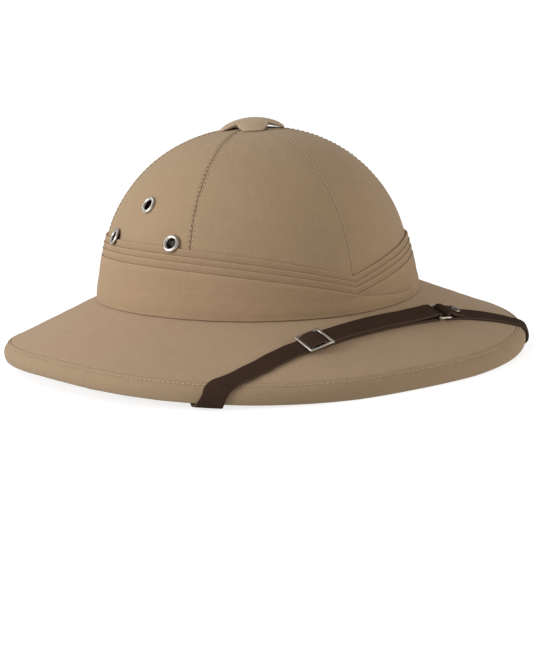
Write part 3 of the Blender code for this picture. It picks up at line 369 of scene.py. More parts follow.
def leather(name):
    """Dark brown smooth leather with a fine grain and slightly paler edges, partly raw edge colour and partly a painted
    highlight.
    """
    t = Tree(name)
    place = t.place()
    grain = t.node("ShaderNodeTexVoronoi")
    t.put(place, grain.inputs["Vector"])
    grain.inputs["Scale"].default_value = 1500.0
    fine = t.noise(place, 900.0, 3.0)
    streak = t.noise(t.stretch(t.uv(), (22, 420, 0)), 1.0, 3.0, 0.6)
    cloud = t.noise(place, 60.0, 3.0)
    dark = t.mix(t.ramp(cloud, 0.3, 0.7), linear(58, 44, 35), linear(66, 50, 40))
    worn = t.mix(t.ramp(streak, 0.52, 0.85, 0.0, 0.3), dark, linear(82, 64, 53))
    # The edge attribute paints the side walls paler: raw edge colour together with a painted highlight
    t.put(t.mix(t.attribute("edge"), worn, linear(88, 72, 62)), t.shader.inputs["Base Color"])
    t.bump(t.plus(t.times(grain.outputs["Distance"], 0.6), fine), 0.12 * MM, 0.6)
    t.put(t.ramp(cloud, 0.2, 0.8, 0.74, 0.88), t.shader.inputs["Roughness"])
    t.set(Specular_IOR_Level=0.03)
    return t.material


def nickel(name, roughness=0.26, colour=(192, 186, 178), shaded=False):
    """Satin nickel plate with faint scratches and a little dullness in patches."""
    t = Tree(name)
    place = t.place()
    patch = t.noise(place, 300.0, 3.0)
    metal = t.mix(t.ramp(patch, 0.35, 0.75), linear(*colour), linear(160, 152, 142))
    # With shaded set, low shade values mix in a dark colour as painted shade
    if shaded:
        metal = t.mix(t.attribute("shade"), linear(52, 44, 38), metal)
    t.put(metal, t.shader.inputs["Base Color"])
    t.put(t.ramp(patch, 0.3, 0.7, roughness, roughness + 0.12), t.shader.inputs["Roughness"])
    t.bump(t.noise(t.stretch(place, (2200, 260, 900)), 1.0), 0.02 * MM, 0.4)
    t.set(Metallic=1.0)
    return t.material


def thread(name, colour):
    """Twisted sewing thread."""
    t = Tree(name)
    place = t.place()
    value = t.ramp(t.noise(place, 500.0), 0.3, 0.7, 0.86, 1.1)
    t.put(t.scaled(linear(*colour)[:3], value), t.shader.inputs["Base Color"])
    t.bump(t.noise(place, 4200.0, 1.0), 0.05 * MM, 0.8)
    t.set(Roughness=0.75, Sheen_Weight=0.2)
    return t.material


# Meshes

def turn_outward(mesh):
    build = bmesh.new()
    build.from_mesh(mesh)
    bmesh.ops.recalc_face_normals(build, faces=build.faces)
    build.to_mesh(mesh)
    build.free()


def link(name, data):
    made = bpy.data.objects.new(name, data)
    bpy.context.scene.collection.objects.link(made)
    return made


def dress(piece, node, look, replaces=True):
    """Give a piece its look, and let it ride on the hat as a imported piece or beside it."""
    piece.data.shade_smooth()
    piece.data.materials.append(look)
    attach(piece, "root")
    if replaces:
        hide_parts(node)
    return piece


def make(name, node, look, points, faces, uv=None, values=None, replaces=True):
    """A mesh piece that rides on the hat, with its UVs for each face corner and its values for each vertex."""
    mesh = bpy.data.meshes.new(name)
    mesh.from_pydata([tuple(p) for p in points], [], [tuple(f) for f in faces])
    if uv is not None:
        mesh.uv_layers.new(name="UVMap").data.foreach_set("uv", np.asarray(uv, float).ravel())
    for key, value in (values or {}).items():
        layer = mesh.attributes.new(key, "FLOAT", "POINT")
        layer.data.foreach_set("value", np.asarray(value, float).ravel())
    turn_outward(mesh)
    return dress(link(name, mesh), node, look, replaces)


def lengths_along(points, axis=0):
    """Length so far at each point, from 0."""
    steps = np.linalg.norm(np.diff(points, axis=axis), axis=-1)
    return np.insert(np.cumsum(steps, axis), 0, 0.0, axis)


def loft(name, node, look, sections, closed=True, uv=None, shade=None, key="shade"):
    """A solid through closed sections (stations by points), closed round or with its two ends capped."""
    nu, nv = sections.shape[:2]
    index = np.arange(nu * nv).reshape(nu, nv)
    spans = nu if closed else nu - 1
    ii, jj = np.meshgrid(np.arange(spans), np.arange(nv), indexing="ij")
    ni, nj = (ii + 1) % nu, (jj + 1) % nv
    faces = np.stack([index[ii, jj], index[ii, nj], index[ni, nj], index[ni, jj]], -1).reshape(-1, 4)
    if uv is None:
        across = lengths_along(np.concatenate([sections, sections[:, :1]], 1), 1).mean(0)
        along = lengths_along(np.concatenate([sections, sections[:1]])[:spans + 1]).mean(1)
        uv = np.stack(np.meshgrid(along, across, indexing="ij"), -1)
    corners = np.stack([uv[ii, jj], uv[ii, jj + 1], uv[ii + 1, jj + 1], uv[ii + 1, jj]], -2).reshape(-1, 2)
    face_list = faces.tolist()
    if not closed:
        face_list += [index[0].tolist(), index[-1].tolist()]
        corners = np.concatenate([corners, uv[0, :nv], uv[-1, :nv]])
    values = {key: np.ones(nu * nv) if shade is None else np.broadcast_to(shade, (nu, nv))}
    return make(name, node, look, sections.reshape(-1, 3), face_list, corners, values)


def turned(name, node, look, profile, place, shade=None):
    """A closed profile of (radius, height) turned about an axis and put in place."""
    turn = np.arange(TURNED_SIDES)[:, None] * TAU / TURNED_SIDES
    radius, height = np.asarray(profile, float).T
    sections = place(np.cos(turn) * radius, np.sin(turn) * radius, np.broadcast_to(height, (len(turn), len(height))))
    return loft(name, node, look, sections, shade=shade)


def smooth_line(points, steps):
    """Catmull-Rom curve through points, with a number of steps between each two."""
    points = np.asarray(points, float)
    around = np.concatenate([2 * points[:1] - points[1:2], points, 2 * points[-1:] - points[-2:-1]])
    t = (np.arange(steps) / steps).reshape((steps,) + (1,) * (points.ndim - 1))
    out = []
    for a, b, c, d in zip(around, around[1:], around[2:], around[3:]):
        bend = (2 * a - 5 * b + 4 * c - d) * t * t + (3 * b - a - 3 * c + d) * t ** 3
        out.append(0.5 * (2 * b + (c - a) * t + bend))
    return np.concatenate([*out, points[-1:]])


def eased(share):
    return share * share * (3 - 2 * share)


def blend(a, b, share):
    return a * (1 - share) + b * share


def unit(vectors):
    return vectors / np.linalg.norm(vectors, axis=-1, keepdims=True)


def swells(distance, *rows):
    """Sum of smooth rises, each given by its height, its place and its half width in millimetres."""
    return sum(height * np.exp(-((distance / MM - place) / width) ** 2) for height, place, width in rows)


def signed(azimuth):
    """The same azimuth between -180 and 180 degrees, in radians."""
    return (azimuth + math.pi) % TAU - math.pi


# The hat's surfaces, all as functions of arrays of azimuths

def at(azimuth, radius, height):
    lean = CROWN_LEAN * np.maximum(0.0, height - CROWN_FOOT_HEIGHT) / CROWN_HEIGHT
    radius, height, lean, azimuth = np.broadcast_arrays(radius, height, lean, azimuth)
    return np.stack([radius * np.sin(azimuth), -radius * np.cos(azimuth) - lean, height], -1)


def oval(azimuth, length, width, squareness):
    across = np.abs(np.sin(azimuth)) / (width / 2)
    along = np.abs(np.cos(azimuth)) / (length / 2)
    return (across ** squareness + along ** squareness) ** (-1 / squareness)


def crown_radius(azimuth):
    return oval(azimuth, CROWN_LENGTH, CROWN_WIDTH, CROWN_SQUARENESS)


def outline(azimuth):
    return oval(azimuth, BRIM_LENGTH, BRIM_WIDTH, BRIM_SQUARENESS)


def foot_height(azimuth):
    return CROWN_FOOT_HEIGHT + CROWN_FOOT_SIDE_RISE * np.sin(azimuth) ** 2 - CROWN_FOOT_LEAN * np.cos(azimuth)


def fold_height(azimuth):
    return RIM_DEPTH + np.maximum(0.0, (RIM_SIDE_RISE + REST_FLAT) * np.sin(azimuth) ** 2 - REST_FLAT)


def waist(height):
    return CROWN_WAIST * np.sin(math.pi * np.clip((height - CROWN_FOOT_HEIGHT) / CROWN_WAIST_RISE, 0.0, 1.0)) ** 2


def crown_point(azimuth, height, stand_off=0.0):
    share = np.clip((height - CROWN_FOOT_HEIGHT) / CROWN_HEIGHT, 0.0, 1.0)
    full = crown_radius(azimuth)
    radius = full * (1 - share ** CROWN_FULLNESS) ** (1 / CROWN_FULLNESS)
    outward = (radius / full) ** (CROWN_FULLNESS - 1) / full
    upward = share ** (CROWN_FULLNESS - 1) / CROWN_HEIGHT
    size = np.hypot(outward, upward)
    return radius - waist(height) + stand_off * outward / size, height + stand_off * upward / size


def crown_height(azimuth, radius):
    reach = radius / crown_radius(azimuth)
    return CROWN_FOOT_HEIGHT + CROWN_HEIGHT * (1 - reach ** CROWN_FULLNESS) ** (1 / CROWN_FULLNESS)


def brim_slope(azimuth):
    run = outline(azimuth) - SEAM_INSET - crown_radius(azimuth)
    fall = foot_height(azimuth) - fold_height(azimuth) - SEAM_HEIGHT
    return np.arctan2(fall, run)


def crown_arc(azimuth, top_radius, rows):
    """Lines down the crown, (azimuths, rows + 1, 2)."""
    radius = crown_radius(azimuth)
    tangent = FOOT_FILLET * np.tan((math.pi / 2 - brim_slope(azimuth)) / 2)
    share = np.maximum(0.0, foot_height(azimuth) + tangent - CROWN_FOOT_HEIGHT) / CROWN_HEIGHT
    first = np.arcsin((top_radius / radius) ** (CROWN_FULLNESS / 2))
    last = np.arccos(share ** (CROWN_FULLNESS / 2))
    turn = first[:, None] + (last - first)[:, None] * np.arange(rows + 1) / rows
    r = radius[:, None] * np.sin(turn) ** (2 / CROWN_FULLNESS)
    z = CROWN_FOOT_HEIGHT + CROWN_HEIGHT * np.cos(turn) ** (2 / CROWN_FULLNESS)
    return np.stack([r - waist(z), z], -1)


def seam_point(azimuth):
    return np.stack([outline(azimuth) - SEAM_INSET, fold_height(azimuth) + SEAM_HEIGHT], -1)


def brim_line(azimuth, fillet_steps, brim_steps):
    slope = brim_slope(azimuth)
    tangent = FOOT_FILLET * np.tan((math.pi / 2 - slope) / 2)
    turn = math.pi + (math.pi / 2 - slope)[:, None] * np.arange(1, fillet_steps + 1) / fillet_steps
    r = (crown_radius(azimuth) + FOOT_FILLET)[:, None] + FOOT_FILLET * np.cos(turn)
    z = (foot_height(azimuth) + tangent)[:, None] + FOOT_FILLET * np.sin(turn)
    fillet = np.stack([r, z], -1)
    share = (np.arange(1, brim_steps + 1) / brim_steps)[None, :, None]
    start = fillet[:, -1:]
    return np.concatenate([fillet, start + (seam_point(azimuth)[:, None] - start) * share], 1)


def rim_line(azimuth, steps):
    """Lines round the outside of the binding, made round with a number of steps between the named points."""
    slope = brim_slope(azimuth)
    rows = [seam_point(azimuth)]
    for inset, height in RIM_EDGE:
        rows.append(np.stack([outline(azimuth) - inset * SEAM_INSET, fold_height(azimuth) + height * RIM_DEPTH], -1))
    walls = 2 * (CLOTH + GAP) + SHELL_WALL
    under = SEAM_HEIGHT + (BINDING_UNDER_INSET - SEAM_INSET) * np.tan(slope) - walls / np.cos(slope)
    rows.append(np.stack([outline(azimuth) - BINDING_UNDER_INSET, fold_height(azimuth) + under], -1))
    points = smooth_line(np.stack(rows), steps)
    points[:, :, 1] = np.maximum(points[:, :, 1], 0.0)
    return np.moveaxis(points, 0, 1)


def offset(lines, distance):
    """Move (n, k, 2) lines sideways, to their right for a positive distance."""
    spans = np.diff(lines, axis=1)
    size = np.maximum(np.linalg.norm(spans, axis=2, keepdims=True), 1e-12)
    side = np.stack([spans[..., 1], -spans[..., 0]], -1) / size
    normal = np.concatenate([side[:, :1], side], 1) + np.concatenate([side, side[:, -1:]], 1)
    length = np.linalg.norm(normal, axis=2, keepdims=True)
    distance = np.asarray(distance, float)[..., None]
    return lines + normal / length * distance / np.maximum(length / 2, 0.5)


def between(azimuth, outer, inner):
    """Closed sections that run out along one set of lines and back along another."""
    line = np.concatenate([outer, inner[:, ::-1]], 1)
    return at(azimuth[:, None], line[..., 0], line[..., 1])


def band_drop(azimuth):
    turn = np.abs(signed(azimuth))
    front = BAND_V_DROP * np.maximum(0.0, 1 - turn / BAND_V_REACH) ** BAND_V_SHARPNESS
    return np.where(turn < BAND_V_REACH, front, BAND_BACK_DROP * np.sin(turn - math.pi / 2) ** 2)


def pleat_height(azimuth, number):
    squeeze = 1 + PLEAT_SQUEEZE * (PLEATS[number][0] / PLEATS[0][0] - 1)
    away = signed(azimuth - BAND_SAG_AZIMUTH) / BAND_SAG_REACH
    tilt = BAND_LEAN * np.cos(azimuth) + BAND_ROLL * np.sin(azimuth) + BAND_SAG * np.exp(-away * away)
    return PLEATS[number][0] + CROWN_FOOT_HEIGHT - band_drop(azimuth) * squeeze - tilt


def ripple(azimuth, height, size, seed):
    """Gentle unevenness of sewn cloth, in metres."""
    h = np.asarray(height) / MM
    total = 0.0
    for k, (turns, rows, phase) in enumerate(((9, 0.11, 0.3), (17, 0.19, 1.7), (29, 0.31, 2.9), (46, 0.05, 4.1))):
        wave = np.sin(turns * azimuth + rows * h + phase * (seed + k))
        total = total + wave * np.sin(0.13 * h * (k + 1) + seed * 1.3 + 2 * azimuth)
    return total * size / 4


# Pieces

LOOKS = {
    "shell": cloth("shell_cloth", (142, 119, 95), slub=0.2),
    "crown": cloth("crown_cloth", (172, 146, 115)),
    "brim": cloth("brim_cloth", (174, 147, 118)),
    "band": cloth("band_cloth", (171, 143, 112)),
    "rim": cloth("binding_cloth", (166, 141, 111), turn=math.radians(45)),
    "cap": cloth("cap_cloth", (186, 162, 134)),
    "leather": leather("strap_leather"),
    "nickel": nickel("satin_nickel"),
    "eyelet": nickel("eyelet_nickel", shaded=True),
    "stud": nickel("dark_nickel", 0.10, (96, 88, 80)),
    "thread": thread("khaki_thread", (203, 180, 150)),
    "seam_thread": thread("seam_thread", (132, 108, 84)),
    "front_thread": thread("front_thread", (200, 176, 146)),
}

ROUND = 336
AROUND = np.arange(ROUND) * TAU / ROUND


def even_azimuth(turn):
    """Azimuth at the crown's own angle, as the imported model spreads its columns."""
    return np.arctan2(CROWN_WIDTH * np.sin(turn), CROWN_LENGTH * np.cos(turn)) % TAU


def cutters():
    """A cylinder for each eyelet, to cut its hole."""
    turn = np.arange(CUTTER_SIDES) * TAU / CUTTER_SIDES
    x, y = ((EYELET_BARREL_RADIUS + CUTTER_PLAY) * way(turn) for way in (np.cos, np.sin))
    low = np.arange(CUTTER_SIDES)
    beside = (low + 1) % CUTTER_SIDES
    faces = np.stack([low, beside, CUTTER_SIDES + beside, CUTTER_SIDES + low], 1).tolist()
    faces += [low.tolist(), (CUTTER_SIDES + low).tolist()]
    made = []
    for side in (1, -1):
        for row in EYELETS:
            place = eyelet_place(side, row)
            mesh = bpy.data.meshes.new("cutter")
            ends = [place(x, y, np.full(CUTTER_SIDES, height)) for height in CUTTER_ENDS]
            mesh.from_pydata(np.concatenate(ends).tolist(), [], faces)
            turn_outward(mesh)
            made.append(link("cutter", mesh))
    return made


def drill(piece, tools):
    """Cut the eyelets' holes through a piece and keep the result as its mesh."""
    for tool in tools:
        cut = piece.modifiers.new("hole", "BOOLEAN")
        cut.operation = "DIFFERENCE"
        cut.solver = "EXACT"
        cut.object = tool
    bpy.context.view_layer.update()
    evaluated = piece.evaluated_get(bpy.context.evaluated_depsgraph_get())
    mesh = bpy.data.meshes.new_from_object(evaluated)
    piece.modifiers.clear()
    look = piece.data.materials[0]
    piece.data = mesh
    mesh.materials.clear()
    mesh.materials.append(look)


def shell():
    top = np.concatenate([crown_arc(AROUND, VENT_HOLE_RADIUS, 40), brim_line(AROUND, 5, 12)], 1)
    outer = offset(np.concatenate([top, rim_line(AROUND, 4)[:, 1:]], 1), CLOTH + GAP)
    inner = offset(top, CLOTH + GAP + SHELL_WALL)[:, :-1]
    outer[:, 0, 0] = VENT_HOLE_RADIUS
    inner[:, 0, 0] = VENT_HOLE_RADIUS
    return loft("shell_form", "shell", LOOKS["shell"], between(AROUND, outer, inner))


def seam_relief(side, strength):
    """Rise of the gore's cloth at a distance from its seam: a groove, a pressed allowance and a stitched dip."""
    height, reach, width = SEAM_ALLOWANCE
    allowance = height * (0.3 + 0.7 * strength) / (1 + np.exp((side / MM - reach) / width))
    return (strength * swells(side, SEAM_GROOVE) + allowance + swells(side, SEAM_DIP, SEAM_PUFF)) * MM


def crown_panel(number):
    turn = np.concatenate([
        np.linspace(0, 0.09, 12)[:-1], np.linspace(0.09, 0.91, 60), np.linspace(0.91, 1.0, 12)[1:]])
    azimuth = np.unwrap(even_azimuth((number + turn) * TAU / 6))
    arc = crown_arc(azimuth, PANEL_TOP_RADIUS, 90)
    points = at(azimuth[:, None], arc[..., 0], arc[..., 1])
    along = lengths_along(points)
    side = np.minimum(along, along[-1:] - along)
    strength = np.where(along < along[-1:] / 2, SEAM_DEPTH[number], SEAM_DEPTH[(number + 1) % 6])
    relief = seam_relief(side, strength) + ripple(azimuth[:, None], arc[..., 1], CROWN_RIPPLE, number)
    relief[:, -1] = 0
    sections = between(azimuth, offset(arc, -relief), offset(arc, CLOTH))
    for end, play in ((0, PANEL_EDGE_PLAY), (-1, -PANEL_EDGE_PLAY)):
        sections[end] += play * np.array([math.cos(azimuth[end]), math.sin(azimuth[end]), 0.0])
    down = lengths_along(points[len(azimuth) // 2])
    across = along - along[-1:] / 2
    u = np.concatenate([across, across[:, ::-1], across[:, :1]], 1)
    v = np.broadcast_to(np.concatenate([down, down[::-1], down[:1]]), u.shape)
    # Painted shade along the seam's groove and a painted highlight beside it, weaker at the softer seams
    tone = 1 + strength * swells(side, *SEAM_SHADE)
    return loft(f"crown_gore_{number + 1}", f"crown_panel_{number + 1}", LOOKS["crown"], sections, False,
                np.stack([u, v], -1), np.concatenate([tone, tone[:, ::-1]], 1))


def brim_cover():
    top = brim_line(AROUND, 6, 40)
    share = np.linspace(0, 1, top.shape[1])[None, :]
    swell = ripple(AROUND[:, None], top[..., 0], BRIM_RIPPLE, 9) * np.sin(math.pi * share) ** 0.5
    slope = brim_slope(AROUND)
    low = offset(top, CLOTH)
    top = offset(top, -swell)
    for line in (top, low):
        line[:, -1] += BRIM_EDGE_PLAY * np.stack([-np.cos(slope), np.sin(slope)], -1)
    sections = between(AROUND, top, low)
    wrap = np.concatenate([sections, sections[:1]])
    wrap = np.concatenate([wrap, wrap[:, :1]], 1)
    return loft("brim_cloth", "brim_cover", LOOKS["brim"], sections, uv=wrap[..., :2].copy())


def binding_piece():
    near = np.array([0.4, 0.9, 1.5, 3.0, 6.0]) * MM / (BRIM_WIDTH / 2)
    near = BINDING_JOIN + np.concatenate([-near, [0.0], near])
    azimuth = np.sort(np.concatenate([np.arange(2 * ROUND) * TAU / (2 * ROUND), near % TAU]))
    outer = rim_line(azimuth, RIM_STEPS)
    inner = offset(outer, CLOTH)[:, ::2]
    length = lengths_along(outer[0])
    pucker = np.sin(EDGE_PUCKERS * azimuth)[:, None] * swells(length, EDGE_PUCKER)
    past_join = signed(azimuth - BINDING_JOIN)[:, None] * BRIM_WIDTH / 2
    lap = np.where(past_join > 0, swells(past_join, JOIN_RELIEF), 0.0)
    relief = (swells(length, *EDGE_RELIEF) + pucker + lap) * MM
    relief += ripple(azimuth[:, None], length, BINDING_RIPPLE, 4)
    relief[:, 0] = 0.15 * MM
    relief[outer[..., 1] < 1.2 * MM] = 0
    outer = offset(outer, -relief)
    outer[..., 1] = np.maximum(outer[..., 1], 0.0)
    # Painted shade and highlight along the binding's outside, and painted shade at 0.9 on its inner face under the brim
    shade = np.concatenate([1 + swells(length, *EDGE_SHADE), np.full(inner.shape[1], 0.9)])
    # Painted shade beside the lapped step at the join
    shade = shade * (1 + swells(past_join, JOIN_SHADE))
    return loft("rim_tape", "rim_binding", LOOKS["rim"], between(azimuth, outer, inner), shade=shade)


def wrap_end_height(turn):
    share = np.clip(turn / WRAP_END_REACH, 0.0, 1.0)
    top = pleat_height(0.0, 0)
    low = foot_height(turn) + FOOT_FILLET
    return top + (low - top) * share ** WRAP_END_BEND


def band():
    fine = np.radians(np.array([0.4, 0.8, 1.3, 2.0, 3.0, 4.2]))
    azimuth = np.sort(np.concatenate([np.arange(504) * TAU / 504, fine, TAU - fine, [WRAP_END_REACH - 0.0009]]))
    turn = signed(azimuth)
    foot = foot_height(azimuth)
    folds = [pleat_height(azimuth, k) for k in range(4)]
    heights, stands, tones = [], [], []

    def put(height, stand, tone=1.0):
        heights.append(height)
        stands.append(np.broadcast_to(stand, azimuth.shape))
        tones.append(np.broadcast_to(tone, azimuth.shape))

    start = foot + FOOT_FILLET
    # The band's inside face against the crown gets painted shade at 0.6
    for share in np.linspace(0, 1, 5):
        put(start + (folds[3] - start) * share, GAP, 0.6)
    for rise, stand, tone in BAND_TOP_EDGE:
        put(folds[3] + rise * MM, stand, tone)
    for k in (2, 1, 0):
        above, (_, stand, behind) = PLEATS[k + 1][1], PLEATS[k]
        for share in (0.35, 0.62, 0.82):
            # Painted shade, darker as the cloth goes down into the crevice behind the next fold's edge
            sunk = above + (behind - above) * share - 0.12 * MM * share ** 2
            put(folds[k + 1] + (folds[k] - folds[k + 1]) * share, sunk, 1.0 - 0.26 * share ** 3)
        for rise, share, more, tone in FOLD_LIP:
            put(folds[k] + rise * MM, behind + share * (stand - behind) + more * MM, tone)

    # The second layer crosses the plain part from the front to the wearer's left
    past = eased(np.clip((turn - 0.8 * WRAP_END_REACH) / (0.4 * WRAP_END_REACH), 0, 1))
    share = np.where(turn < 0, np.clip(1 + turn / WRAP_END_START, 0, 1), 1 - past)
    crossing = np.minimum(wrap_end_height(turn), folds[0] - 0.9 * MM)
    crossing = blend(foot + (folds[0] - foot) / 2, crossing, share)
    depth = np.sin(math.pi * np.clip(turn / WRAP_END_REACH, 0, 1)) ** 0.4
    for share in (0.25, 0.5, 0.8):
        height = folds[0] + (crossing - folds[0]) * share - 0.5 * MM * (1 - share)
        put(height, PLEATS[0][1] - WRAP_END_STEP * depth * share)
    for rise, share, tone in WRAP_END_EDGE:
        put(crossing + rise * MM, PLEATS[0][1] - WRAP_END_STEP * depth * share, 1 + tone * depth)
    line = np.stack([np.stack(crown_point(azimuth, h, s), -1) for h, s in zip(heights, stands)], 1)

    slope = brim_slope(azimuth)
    reach = crown_radius(azimuth) + BAND_BOTTOM_STANDOFF
    on_brim = foot - BAND_BOTTOM_STANDOFF * np.tan(slope) + GAP / np.cos(slope)
    low = np.stack([reach, on_brim + CLOTH], -1)
    skirt = []
    for share in (0.2, 0.4, 0.6, 0.8, 0.93):
        point = line[:, -1] + (low - line[:, -1]) * share
        point[:, 0] += BAND_SWELL * math.sin(math.pi * share)
        skirt.append(point)
        # Painted shade, a little darker towards the brim
        tones.append(np.full(azimuth.shape, 1.0 - 0.10 * share ** 4))
    for out, up, tone in BAND_HEM:
        skirt.append(np.stack([reach + out * MM, on_brim + up * MM], -1))
        tones.append(np.full(azimuth.shape, tone))
    inner = offset(brim_line(azimuth, 2, 2)[:, :3], -GAP)[:, 1::-1]
    line = np.concatenate([inner, line, np.stack(skirt, 1)], 1)
    drape = ripple(azimuth[:, None], line[..., 1], BAND_RIPPLE, 5)
    drape[:, :8] = 0
    line[..., 0] += drape
    # The rows under the band on the brim get painted shade at 0.6 too
    return loft("pleated_band", "pugaree", LOOKS["band"], at(azimuth[:, None], line[..., 0], line[..., 1]),
                shade=np.stack([np.full(azimuth.shape, 0.6)] * 2 + tones, 1))


def vent_cap():
    quarter = TAU / CAP_LEGS
    turn = np.arange(240) * TAU / 240
    away = np.abs((turn + quarter / 2) % quarter - quarter / 2)
    share = np.clip((away - LEG_FOOT_HALF_ANGLE) / (LEG_TOP_HALF_ANGLE - LEG_FOOT_HALF_ANGLE), 0, 1)[:, None]
    edge = CAP_RADIUS + (CAP_NOTCH_RADIUS - CAP_RADIUS) * share
    rings = np.concatenate([np.linspace(0.004, 0.9, 27), [0.93, 0.955, 0.975, 0.99, 1.0]])
    r = edge * rings
    out = r / CAP_RADIUS
    slope = CAP_RISE * CAP_FULLNESS * out ** (CAP_FULLNESS - 1) / CAP_RADIUS
    x = CAP_OFFSET[0] + r * np.sin(turn + CAP_TURN)[:, None]
    y = CAP_OFFSET[1] - r * np.cos(turn + CAP_TURN)[:, None]
    azimuth, radius = np.arctan2(x, -y), np.hypot(x, y)
    seat = crown_height(azimuth, radius) + GAP
    top = crown_height(0.0, CAP_RADIUS) + GAP + CAP_WALL + CAP_RISE * (1 - out ** CAP_FULLNESS)
    top = np.maximum(top, seat + CAP_WALL)
    under = np.maximum(top - (CAP_WALL + CAP_NOTCH_WALL * share) * np.hypot(1, slope), seat)
    from_edge = edge - r
    taper = (1 - share) * swells(from_edge, CAP_FOOT_TAPER)
    top = top + swells(from_edge, *CAP_RELIEF) * MM * (1 - 0.6 * taper) - 0.8 * MM * taper
    top[:, -1] -= 0.3 * MM
    sections = np.concatenate([at(azimuth, radius, top), at(azimuth, radius, under)[:, ::-1]], 1)
    flat = np.stack([x, y], -1)
    uv = np.concatenate([flat, flat[:, ::-1], flat[:, :1]], 1)
    # Painted highlight on the rolled edge, and painted shade at 0.55 on the cap's underside
    shade = np.concatenate([1 + swells(from_edge, CAP_SHADE), np.full(under.shape, 0.55)], 1)
    return loft("vent_cap_cloth", "vent_cap", LOOKS["cap"], sections, uv=np.concatenate([uv, uv[:1]]), shade=shade)


def eyelet_seat(side, row):
    """Seat and lean of an eyelet: over the band's edge where the band reaches it, else flat on the crown."""
    azimuth, height, seat, lean = row
    if pleat_height(side * azimuth, 3) > CROWN_FOOT_HEIGHT + height - EYELET_FLANGE_RADIUS:
        return seat, lean
    return GAP, 0.0


def eyelet_place(side, row):
    azimuth, height = row[:2]
    lean = eyelet_seat(side, row)[1]
    azimuth = azimuth * side
    height = height + CROWN_FOOT_HEIGHT
    base = at(azimuth, *crown_point(azimuth, height))
    tip = at(azimuth, *crown_point(azimuth, height, MM))
    out = unit(tip - base)
    sideways = np.array([math.cos(azimuth), math.sin(azimuth), 0.0])
    up = np.cross(out, sideways)
    up = -up if up[2] < 0 else up
    leaned = out * math.cos(lean) + up * math.sin(lean)
    raised = up * math.cos(lean) - out * math.sin(lean)

    def place(x, y, h):
        return base + np.multiply.outer(x, sideways) + np.multiply.outer(y, raised) + np.multiply.outer(h, leaned)

    return place


def eyelet(name, side, row):
    seat = eyelet_seat(side, row)[0]
    tail = CLOTH + GAP + SHELL_WALL + EYELET_TAIL_GAP
    middle = (EYELET_BORE_RADIUS + EYELET_FLANGE_RADIUS) / 2
    half = (EYELET_FLANGE_RADIUS - EYELET_BORE_RADIUS) / 2
    profile = [(EYELET_BORE_RADIUS, -tail - EYELET_TAIL_WALL), (EYELET_BORE_RADIUS, -1 * MM)]
    for k in range(13):
        angle = math.pi - math.pi * k / 12
        rise = EYELET_EDGE + (EYELET_ROLL - EYELET_EDGE) * math.sin(angle)
        profile.append((middle + half * math.cos(angle), seat + rise))
    profile += [(EYELET_FLANGE_RADIUS - EYELET_EDGE, seat), (EYELET_BARREL_RADIUS, seat), (EYELET_BARREL_RADIUS, -tail)]
    profile += [(EYELET_TAIL_RADIUS, -tail), (EYELET_TAIL_RADIUS, -tail - EYELET_TAIL_WALL)]
    # Painted shade inside the bore
    shade = np.ones(len(profile))
    shade[:len(BORE_SHADE)] = BORE_SHADE
    return turned(name + "_rolled", name, LOOKS["eyelet"], profile, eyelet_place(side, row), shade)


# Chin strap

SKIN_STEPS = 1441
SKIN_AZIMUTH = np.linspace(-math.pi, math.pi, SKIN_STEPS)


def skin_table():
    """The line that the strap follows at each azimuth, and the index of its points at the fold and the mouth."""
    top = brim_line(SKIN_AZIMUTH, 4, 6)
    rim = rim_line(SKIN_AZIMUTH, RIM_STEPS)
    arc = crown_arc(SKIN_AZIMUTH, PANEL_TOP_RADIUS, 16)
    inside = offset(np.concatenate([arc, top], 1), CLOTH + GAP + SHELL_WALL)
    start = top[:, 3:-1]
    back = inside[:, -2:0:-1]
    fold = start.shape[1] + 2 * RIM_STEPS
    mouth = start.shape[1] + rim.shape[1] + 6
    return np.concatenate([start, rim, back], 1), fold, mouth


SKIN, FOLD, MOUTH = skin_table()
SKIN_LENGTH = lengths_along(SKIN, 1)
SKIN_LENGTH -= SKIN_LENGTH[:, FOLD:FOLD + 1]


def skin_normals():
    run = np.concatenate([SKIN[:, 1:], SKIN[:, -1:]], 1) - np.concatenate([SKIN[:, :1], SKIN[:, :-1]], 1)
    run = unit(run)
    return np.stack([-run[..., 1], run[..., 0]], -1)


SKIN_NORMAL = skin_normals()


def skin_point(azimuth, distance, lift):
    """Points at distances past the rim's fold along the skin, raised off it."""
    azimuth, distance, lift = (x.ravel() for x in np.broadcast_arrays(azimuth, distance, lift))
    place = (azimuth + math.pi) / TAU * (SKIN_STEPS - 1)
    low = np.clip(place.astype(int), 0, SKIN_STEPS - 2)
    share = (place - low)[:, None]
    lengths = blend(SKIN_LENGTH[low], SKIN_LENGTH[low + 1], share)
    lines, normals = (blend(table[low], table[low + 1], share[..., None]) for table in (SKIN, SKIN_NORMAL))
    target = np.maximum(distance, lengths[:, 0])
    i = np.clip((lengths < target[:, None]).sum(1) - 1, 0, lengths.shape[1] - 2)
    row = np.arange(len(i))
    part = ((target - lengths[row, i]) / (lengths[row, i + 1] - lengths[row, i]))[:, None]
    point, normal = (blend(table[row, i], table[row, i + 1], part) for table in (lines, normals))
    point = point + unit(normal) * lift[:, None]
    return at(azimuth, point[:, 0], point[:, 1])


